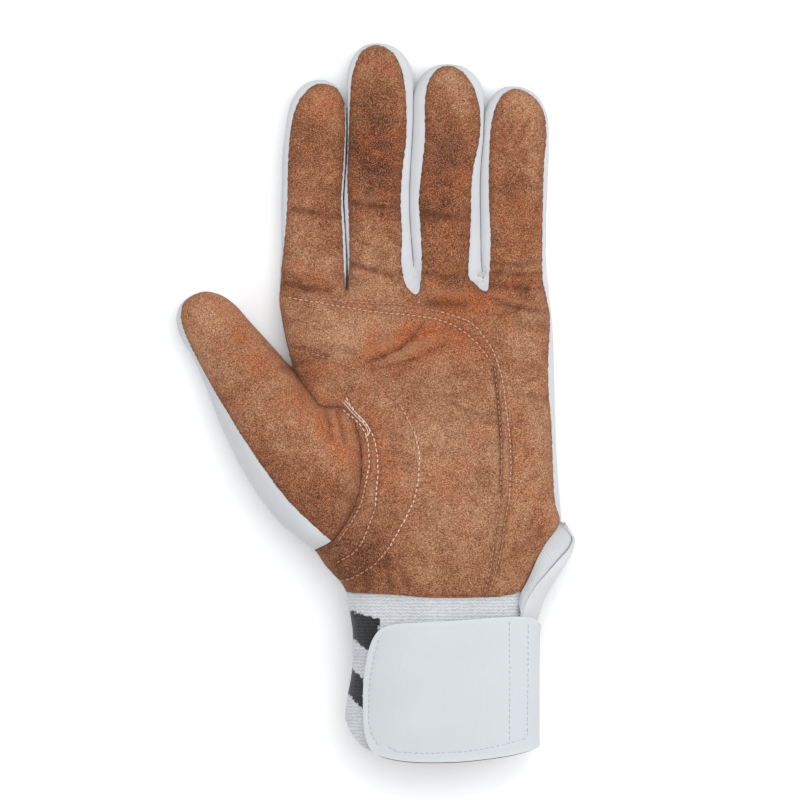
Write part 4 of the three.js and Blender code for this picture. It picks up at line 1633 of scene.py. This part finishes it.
@dataclass
class Panel:
    """One piece of cloth or leather cut from the skin."""

    name: str
    node: str
    finish: Finish
    rules: Sequence[Measure]
    thickness: float = 1.3
    lift: float = 0.0
    lift_reach: float = 1.6
    side_lift: float = 0.3
    margin: float = 0.1
    rows: Sequence[Line] = ()
    row_depth: float = 0.75
    row_width: float = 0.75
    feather: float = 0.0
    feather_width: float = 0.8
    hem: float = 0.0
    hem_height: float = 0.25
    hem_blur: float = 0.25
    rough_cut: float = 1.5
    least_edge: float = 0.02
    sharp_angle: float = 52.0

    def outer(self, source: bpy.types.Mesh) -> bmesh.types.BMesh:
        """Cuts the panel's outer face from a surface.

        Args:
            source: The surface.

        Returns:
            The cut face.
        """
        bm = bmesh.new()
        bm.from_mesh(source)
        for rule in self.rules:
            values = rule(points_of(bm))
            away = [vertex for vertex, value in zip(bm.verts, values) if value < -self.rough_cut]
            bmesh.ops.delete(bm, geom=away, context="VERTS")
        for rule in self.rules:
            keep_inside(bm, rule, self.margin)
        keep_biggest_part(bm)
        bmesh.ops.dissolve_degenerate(bm, edges=bm.edges, dist=self.least_edge * MM)
        return bm

    def raise_face(self, mesh: bpy.types.Mesh) -> None:
        """Lifts the panel off the skin, shapes its edge and presses its rows of stitches in.

        Args:
            mesh: The panel's outer face.
        """
        points, normals = points_of(mesh), normals_of(mesh)
        height = self.lift * np.clip(self.lift_reach * normals[:, 2], self.side_lift, 1)
        # seam also takes the grooves of the rows and the hem: painted shade there, painted paler on the strap
        seam = np.zeros(len(points))
        for row in self.rows:
            near = bell(line_distance(points, spline(row)), 1.0, self.row_width)
            height -= self.row_depth * near
            seam = np.maximum(seam, near)
        if self.feather or self.hem:
            edge = np.maximum(np.min([rule(points) for rule in self.rules], axis=0) - self.margin, 0)
            height -= self.feather * np.exp(-edge / self.feather_width)
            rim = 1 / (1 + np.exp((edge - self.hem) / self.hem_blur)) if self.hem else 0
            height += self.hem_height * rim
            seam = np.maximum(seam, rim)
        before = mesh.attributes.get("seam")
        if before:
            values = np.empty(len(points), np.float32)
            before.data.foreach_get("value", values)
            seam = np.maximum(seam, values)
        store(mesh, "seam", seam)
        move_points(mesh, points + normals * height[:, None])

    def build(self, source: bpy.types.Mesh, dresser: Dresser) -> bpy.types.Object:
        """Makes the finished panel with its thickness.

        Args:
            source: The surface that it is cut from.
            dresser: Gives it its finish.

        Returns:
            The panel.
        """
        mesh = mesh_from(self.outer(source), self.name)
        self.raise_face(mesh)
        piece = new_object(self.name, mesh)
        add_wall(piece, self.thickness)
        apply_modifiers(piece)
        piece.data.shade_smooth()
        piece.data.set_sharp_from_angle(angle=math.radians(self.sharp_angle))
        return dresser.dress(piece, self.finish, self.node)


@dataclass
class HandPanels:
    """Suede front, cloth back and the strips between the fingers."""

    skin: Skin
    dresser: Dresser
    suede_lift: float = 0.15
    palm_patch_inset: float = 1.2
    thumb_patch_inset: float = 2.6

    def panels(self) -> list[Panel]:
        """Lists the panels that are cut from the skin.

        Returns:
            The panels.
        """
        no_thumb, no_wrist = outside(THUMB_AREA.inside), outside(WRIST_AREA.inside)
        not_suede, not_gusset = outside(in_palm_suede), outside(in_gusset)
        rooms = [between_fingers(index) for index in range(3)]
        names = ("fourchette_index_middle", "fourchette_middle_ring", "fourchette_ring_little")
        return [
            Panel(
                "palm_suede", "palm_panel", Finish.SUEDE, (in_palm_suede, no_thumb, no_wrist),
                lift=self.suede_lift,
            ),
            Panel(
                "back_cloth", "back_panel", Finish.CLOTH,
                (no_thumb, no_wrist, not_suede, not_gusset, *(flush(outside(room)) for room in rooms)),
            ),
            *(
                Panel(f"{name}_strip", name, Finish.CLOTH, (flush(room), not_suede))
                for name, room in zip(names, rooms)
            ),
            Panel(
                "thumb_suede", "thumb_front", Finish.SUEDE, (THUMB_AREA.inside, in_thumb_suede),
                lift=self.suede_lift,
            ),
            Panel("thumb_cloth", "thumb_back", Finish.CLOTH, (THUMB_AREA.inside, outside(in_thumb_suede))),
            Panel(
                "palm_patch_suede", "palm_patch", Finish.PATCH,
                (PATCH_AREA.inside, no_thumb, inset(in_palm_suede, self.palm_patch_inset)),
                thickness=0.7, lift=1.0, rows=(PATCH_OUTER_ROW, PATCH_INNER_ROW), feather=0.5,
            ),
            Panel(
                "thumb_patch_suede", "thumb_patch", Finish.PATCH,
                (ARC_AREA.inside, no_thumb, inset(in_palm_suede, self.thumb_patch_inset)),
                thickness=0.5, lift=1.6, rows=(ARC_ROW, THUMB_INNER_ROW, THUMB_OUTER_ROW), feather=0.9,
            ),
        ]

    def build(self) -> dict[str, bpy.types.Object]:
        """Makes the panels and returns them by name."""
        return {panel.name: panel.build(self.skin.mesh, self.dresser) for panel in self.panels()}


def fold_line(columns: Table, name: str) -> Array:
    """Points of one line along the fold at the wrist's side."""
    return np.column_stack([columns[f"{name}_{axis}"] for axis in "xyz"])


@dataclass
class Wrist:
    """Knitted cuff, ribbed gusset and its flap, and the strap over its backing."""

    skin: Skin
    dresser: Dresser
    strap_gap: float = 1.3
    strap_wall: float = 1.6
    sleeve_run: tuple[float, float] = (-134.0, 70.0)
    sleeve_faces: tuple[int, int] = (260, 100)
    backing_wall: float = 0.9
    backing_gap: float = 0.1
    backing_drop: float = 1.85
    backing_inset: float = 1.55
    cuff_drop: float = 0.7
    side_faces: tuple[int, int] = (20, 360)
    side_blur: float = 0.06
    soft_part: float = 3.0
    soft_steps: int = 3
    soft_angle: float = 50.0
    flap_wall: float = 1.4
    flap_step: float = 0.5
    gusset_wall: float = 1.2
    gusset_span: tuple[float, float] = (0.06, 1.12)
    gusset_bulge: float = 0.9
    ribs: int = 44
    rib_depth: float = 0.14
    slit_place: float = 0.8
    slit_width: float = 0.2
    slit_depth: float = 1.6
    slit_end: float = 0.3

    def sleeve(self, grow: float) -> bpy.types.Mesh:
        """Open tube of the wrist, from which the strap's layers are cut.

        Args:
            grow: Distance of the tube outwards from the wrist.

        Returns:
            The tube.
        """
        start, length = self.sleeve_run

        def place(turn: Array, along: Array) -> Array:
            """Points of the tube."""
            return self.skin.forms.hand_points(turn, start + length * along, grow)

        bm = surface(*self.sleeve_faces, place)
        bmesh.ops.recalc_face_normals(bm, faces=bm.faces)
        mesh = mesh_from(bm, "sleeve")
        points = points_of(mesh)
        outwards = (points - points.mean(axis=0))[:, [0, 2]]
        if np.mean(np.einsum("ij,ij->i", outwards, normals_of(mesh)[:, [0, 2]])) < 0:
            mesh.flip_normals()
        return mesh

    def strap(self) -> bpy.types.Object:
        """Wide smooth strap with a folded edge.

        Returns:
            The strap.
        """
        panel = Panel(
            "strap", "wrist_strap", Finish.STRAP, (in_strap,), self.strap_wall,
            rows=STRAP_ROWS, row_depth=0.18, row_width=0.5, hem=1.3,
        )
        return panel.build(self.sleeve(self.strap_gap + self.strap_wall), self.dresser)

    def backing(self) -> bpy.types.Object:
        """Dark red layer under the strap that shows below its lower edge.

        Returns:
            The layer.
        """

        def rule(points: Array) -> Array:
            """How far points lie inside the layer, which sits lower than the strap."""
            return in_strap(points + (0, self.backing_drop, 0)) - self.backing_inset

        panel = Panel("strap_backing_tape", "strap_backing", Finish.TAPE, (rule,), self.backing_wall)
        return panel.build(self.sleeve(self.strap_gap - self.backing_gap), self.dresser)

    def cuff(self) -> bpy.types.Object:
        """Knitted tube round the wrist.

        Returns:
            The tube.
        """
        rules = (WRIST_AREA.inside, outside(PAST_CUFF_AREA.inside))
        panel = Panel("knit_cuff", "cuff", Finish.KNIT, rules, lift=-self.cuff_drop)
        return panel.build(self.skin.mesh, self.dresser)

    def side_piece(
        self, name: str, node: str, finish: Finish, wall: float, place: Callable[[Array, Table], Array]
    ) -> bpy.types.Object:
        """Makes a long piece beside the wrist, with its thickness and soft edges.

        Args:
            name: Name of the piece.
            node: The solid that it stands for.
            finish: Its kind of material.
            wall: Its thickness.
            place: Gives its points from the share across and the side fold's columns, with the share along.

        Returns:
            The piece.
        """
        rows = {"along": np.linspace(0, 1, len(SIDE_FOLD["edge_x"])), **SIDE_FOLD}

        def points(across: Array, along: Array) -> Array:
            """Points of the piece."""
            columns = {name: read(rows, "along", name, along, self.side_blur) for name in rows}
            return place(across, columns)

        mesh = mesh_from(surface(*self.side_faces, points), name)
        if normals_of(mesh)[:, 2].mean() < 0:
            mesh.flip_normals()
        store(mesh, "seam", np.zeros(len(mesh.vertices)))
        piece = new_object(name, mesh)
        add_wall(piece, wall)
        bevel = piece.modifiers.new("soft edge", "BEVEL")
        bevel.width = wall / self.soft_part * MM
        bevel.segments = self.soft_steps
        bevel.angle_limit = math.radians(self.soft_angle)
        apply_modifiers(piece)
        piece.data.shade_smooth()
        return self.dresser.dress(piece, finish, node)

    def gusset(self) -> bpy.types.Object:
        """Ribbed strip from the suede's edge out to the slit, where it dips under the lip.

        Returns:
            The strip.
        """

        def place(across: Array, columns: Table) -> Array:
            """Points of the strip, with ribs across it.

            Args:
                across: Share of the way from the suede to the slit.
                columns: The side fold's columns.

            Returns:
                The points in millimetres.
            """
            edge, slit, along = fold_line(columns, "edge"), fold_line(columns, "slit"), columns["along"]
            start, width = self.gusset_span
            points = edge + (slit - edge) * (width * across - start)[:, None]
            fade = np.sin(along * math.pi) ** 0.5
            ribs = self.rib_depth * np.sin(along * 2 * math.pi * self.ribs) * fade
            lip = np.clip((across - self.slit_place) / self.slit_width, 0, 1) ** 2
            dip = self.slit_depth * lip * (self.slit_end + (1 - self.slit_end) * fade)
            points[:, 2] += self.gusset_bulge * np.sin(across * math.pi) + ribs - dip
            return points

        return self.side_piece("ribbed_gusset", "side_gusset", Finish.RIB, self.gusset_wall, place)

    def flap(self) -> bpy.types.Object:
        """Lip of cloth that stands off the side of the wrist.

        Returns:
            The lip.
        """

        def place(across: Array, columns: Table) -> Array:
            """Points from the lip's inner edge, out over its bend and down to its foot.

            Args:
                across: Share of the way to the foot.
                columns: The side fold's columns.

            Returns:
                The points in millimetres.
            """
            slit, outer = fold_line(columns, "slit"), fold_line(columns, "outer")
            foot = np.column_stack([columns[name] for name in ("foot_x", "outer_y", "foot_z")])
            slit[:, 2] += self.flap_step
            share = across[:, None]
            middle = 2 * outer - (slit + foot) / 2
            return slit * (1 - share) ** 2 + 2 * middle * share * (1 - share) + foot * share**2

        return self.side_piece("flap_cloth", "side_flap", Finish.CLOTH, self.flap_wall, place)

    def build(self) -> dict[str, bpy.types.Object]:
        """Makes the pieces of the wrist and returns them by name."""
        pieces = [self.cuff(), self.backing(), self.strap(), self.gusset(), self.flap()]
        return {piece.name: piece for piece in pieces}


@dataclass
class Stitches:
    """Rows of sewing thread laid on the pieces below them."""

    name: str
    finish: Finish
    rows: Sequence[Line]
    pitch: float = 1.95
    length: float = 1.35
    width: float = 0.5
    wander: float = 0.12
    past_end: float = 0.1
    stand_off: float = 0.08
    steps: int = 12
    sides: int = 6
    start_height: float = 70.0

    def on_surface(self, trees: Sequence[BVHTree], place: Array) -> tuple[Vector, Vector] | None:
        """Looks straight down at a place for what lies on top there.

        Args:
            trees: The pieces that may lie there.
            place: The place in plan view.

        Returns:
            The highest point and its normal, if anything lies there.
        """
        start = Vector((*place, self.start_height)) * MM
        hits = [tree.ray_cast(start, Vector((0, 0, -1))) for tree in trees]
        found = [(hit[0], hit[1]) for hit in hits if hit[0] is not None]
        return max(found, key=lambda hit: hit[0].z, default=None)

    def sew(self, bm: bmesh.types.BMesh, trees: Sequence[BVHTree], row: Line) -> None:
        """Adds the stitches of one row.

        Args:
            bm: Gets the stitches.
            trees: The pieces that they lie on.
            row: The row in plan view.
        """
        line = spline(row, self.steps)
        along = np.concatenate(([0], np.cumsum(np.hypot(*np.diff(line, axis=0).T))))
        chance = random.Random(self.name)
        for at in np.arange(self.pitch / 2, along[-1], self.pitch):
            ends = [
                np.array([np.interp(at + side * self.length / 2, along, line[:, axis]) for axis in (0, 1)])
                + [chance.uniform(-self.wander, self.wander) for _ in "xy"]
                for side in (-1, 1)
            ]
            found = [self.on_surface(trees, end) for end in ends]
            if None in found:
                continue
            (first, up), (last, _) = found
            run = last - first
            across = up.cross(run).normalized()
            matrix = Matrix((run.normalized(), across, run.normalized().cross(across))).transposed().to_4x4()
            half = self.width / 2 * MM
            sizes = Matrix.Diagonal((run.length / 2 + self.past_end * MM, half, half, 1))
            spot = Matrix.Translation((first + last) / 2 + up * self.stand_off * MM)
            bmesh.ops.create_uvsphere(
                bm, u_segments=self.sides, v_segments=self.sides, radius=1, matrix=spot @ matrix @ sizes
            )

    def build(self, carriers: Sequence[bpy.types.Object], dresser: Dresser) -> bpy.types.Object:
        """Makes all rows as one piece.

        Args:
            carriers: The pieces that the stitches lie on.
            dresser: Gives the piece its finish.

        Returns:
            The piece.
        """
        depsgraph = bpy.context.evaluated_depsgraph_get()
        trees = [BVHTree.FromObject(piece, depsgraph) for piece in carriers]
        bm = bmesh.new()
        for row in self.rows:
            self.sew(bm, trees, row)
        bmesh.ops.recalc_face_normals(bm, faces=bm.faces)
        piece = new_object(self.name, mesh_from(bm, self.name))
        piece.data.shade_smooth()
        return dresser.dress(piece, self.finish)


@dataclass
class Studio:
    """Pale floor, soft light and a camera straight above the glove."""

    middle: tuple[float, float] = (8.46, 1.08)
    view_width: float = 288.0
    distance: float = 6000.0
    sensor: float = 36.0
    sight: float = 100.0
    floor_half: float = 3.0
    floor_colour: Colour = (0.93, 0.93, 0.93)
    sky_colour: Colour = (0.98, 0.99, 1.0)
    sky_strength: float = 0.86

    def light(self, name: str, place: Sequence[float], size: float, power: float) -> None:
        """Adds a large soft lamp that points at the glove.

        Args:
            name: Name of the lamp.
            place: Where it hangs, in metres.
            size: Its diameter in metres.
            power: Its power in watts.
        """
        lamp = bpy.data.lights.new(name, "AREA")
        lamp.shape = "DISK"
        lamp.size = size
        lamp.energy = power
        made = bpy.data.objects.new(name, lamp)
        made.location = place
        made.rotation_euler = (-Vector(place)).to_track_quat("-Z", "Y").to_euler()
        bpy.context.scene.collection.objects.link(made)

    def floor(self) -> None:
        """Lays the pale floor."""
        bm = bmesh.new()
        bmesh.ops.create_grid(bm, x_segments=1, y_segments=1, size=self.floor_half)
        floor = new_object("floor", mesh_from(bm, "floor"))
        floor.data.materials.append(Recipe("floor").base((*self.floor_colour, 1), 0.9, 0.0))

    def sky(self) -> None:
        """Gives the scene its even light."""
        world = bpy.data.worlds.new("sky")
        world.use_nodes = True
        background = world.node_tree.nodes["Background"]
        background.inputs["Color"].default_value = (*self.sky_colour, 1)
        background.inputs["Strength"].default_value = self.sky_strength
        bpy.context.scene.world = world

    def camera(self) -> None:
        """Hangs the camera straight above the glove."""
        lens = bpy.data.cameras.new("camera")
        lens.sensor_width = self.sensor
        lens.lens = self.sensor * self.distance / self.view_width
        lens.clip_end = self.sight
        made = bpy.data.objects.new("camera", lens)
        made.location = Vector((*self.middle, self.distance)) * MM
        bpy.context.scene.collection.objects.link(made)
        bpy.context.scene.camera = made

    def build(self) -> None:
        """Makes floor, lamps, sky and camera."""
        self.floor()
        self.light("top light", (0.15, 0.3, 1.7), 1.4, 15)
        self.light("side light", (1.3, 0.1, 1.0), 0.9, 5)
        self.sky()
        self.camera()
        view = bpy.context.scene.view_settings
        view.view_transform = "Standard"
        view.look = "None"


def main() -> None:
    """Builds the glove and its surroundings."""
    logging.basicConfig(level=logging.INFO, format="%(message)s")
    dresser = Dresser()
    skin = Skin(Forms())
    log.info("skin: %d faces", len(skin.mesh.polygons))
    panels = HandPanels(skin, dresser).build()
    wrist = Wrist(skin, dresser).build()
    suede = [panels[name] for name in ("palm_suede", "palm_patch_suede", "thumb_patch_suede", "thumb_suede")]
    Stitches("worn_stitches", Finish.WORN_THREAD, WORN_ROWS).build(suede, dresser)
    Stitches("bright_stitches", Finish.THREAD, BRIGHT_ROWS).build(suede, dresser)
    Stitches("faded_stitches", Finish.FADED_THREAD, FADED_ROWS).build(suede, dresser)
    loose = Stitches(
        "loose_thread", Finish.THREAD, LOOSE_ENDS, pitch=0.5, length=0.7, width=0.36, wander=0.05
    )
    loose.build(suede, dresser)
    Stitches("strap_stitches", Finish.STRAP_THREAD, STRAP_ROWS, width=0.3).build([wrist["strap"]], dresser)
    Studio().build()
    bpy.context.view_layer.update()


if __name__ == "__main__":
    main()
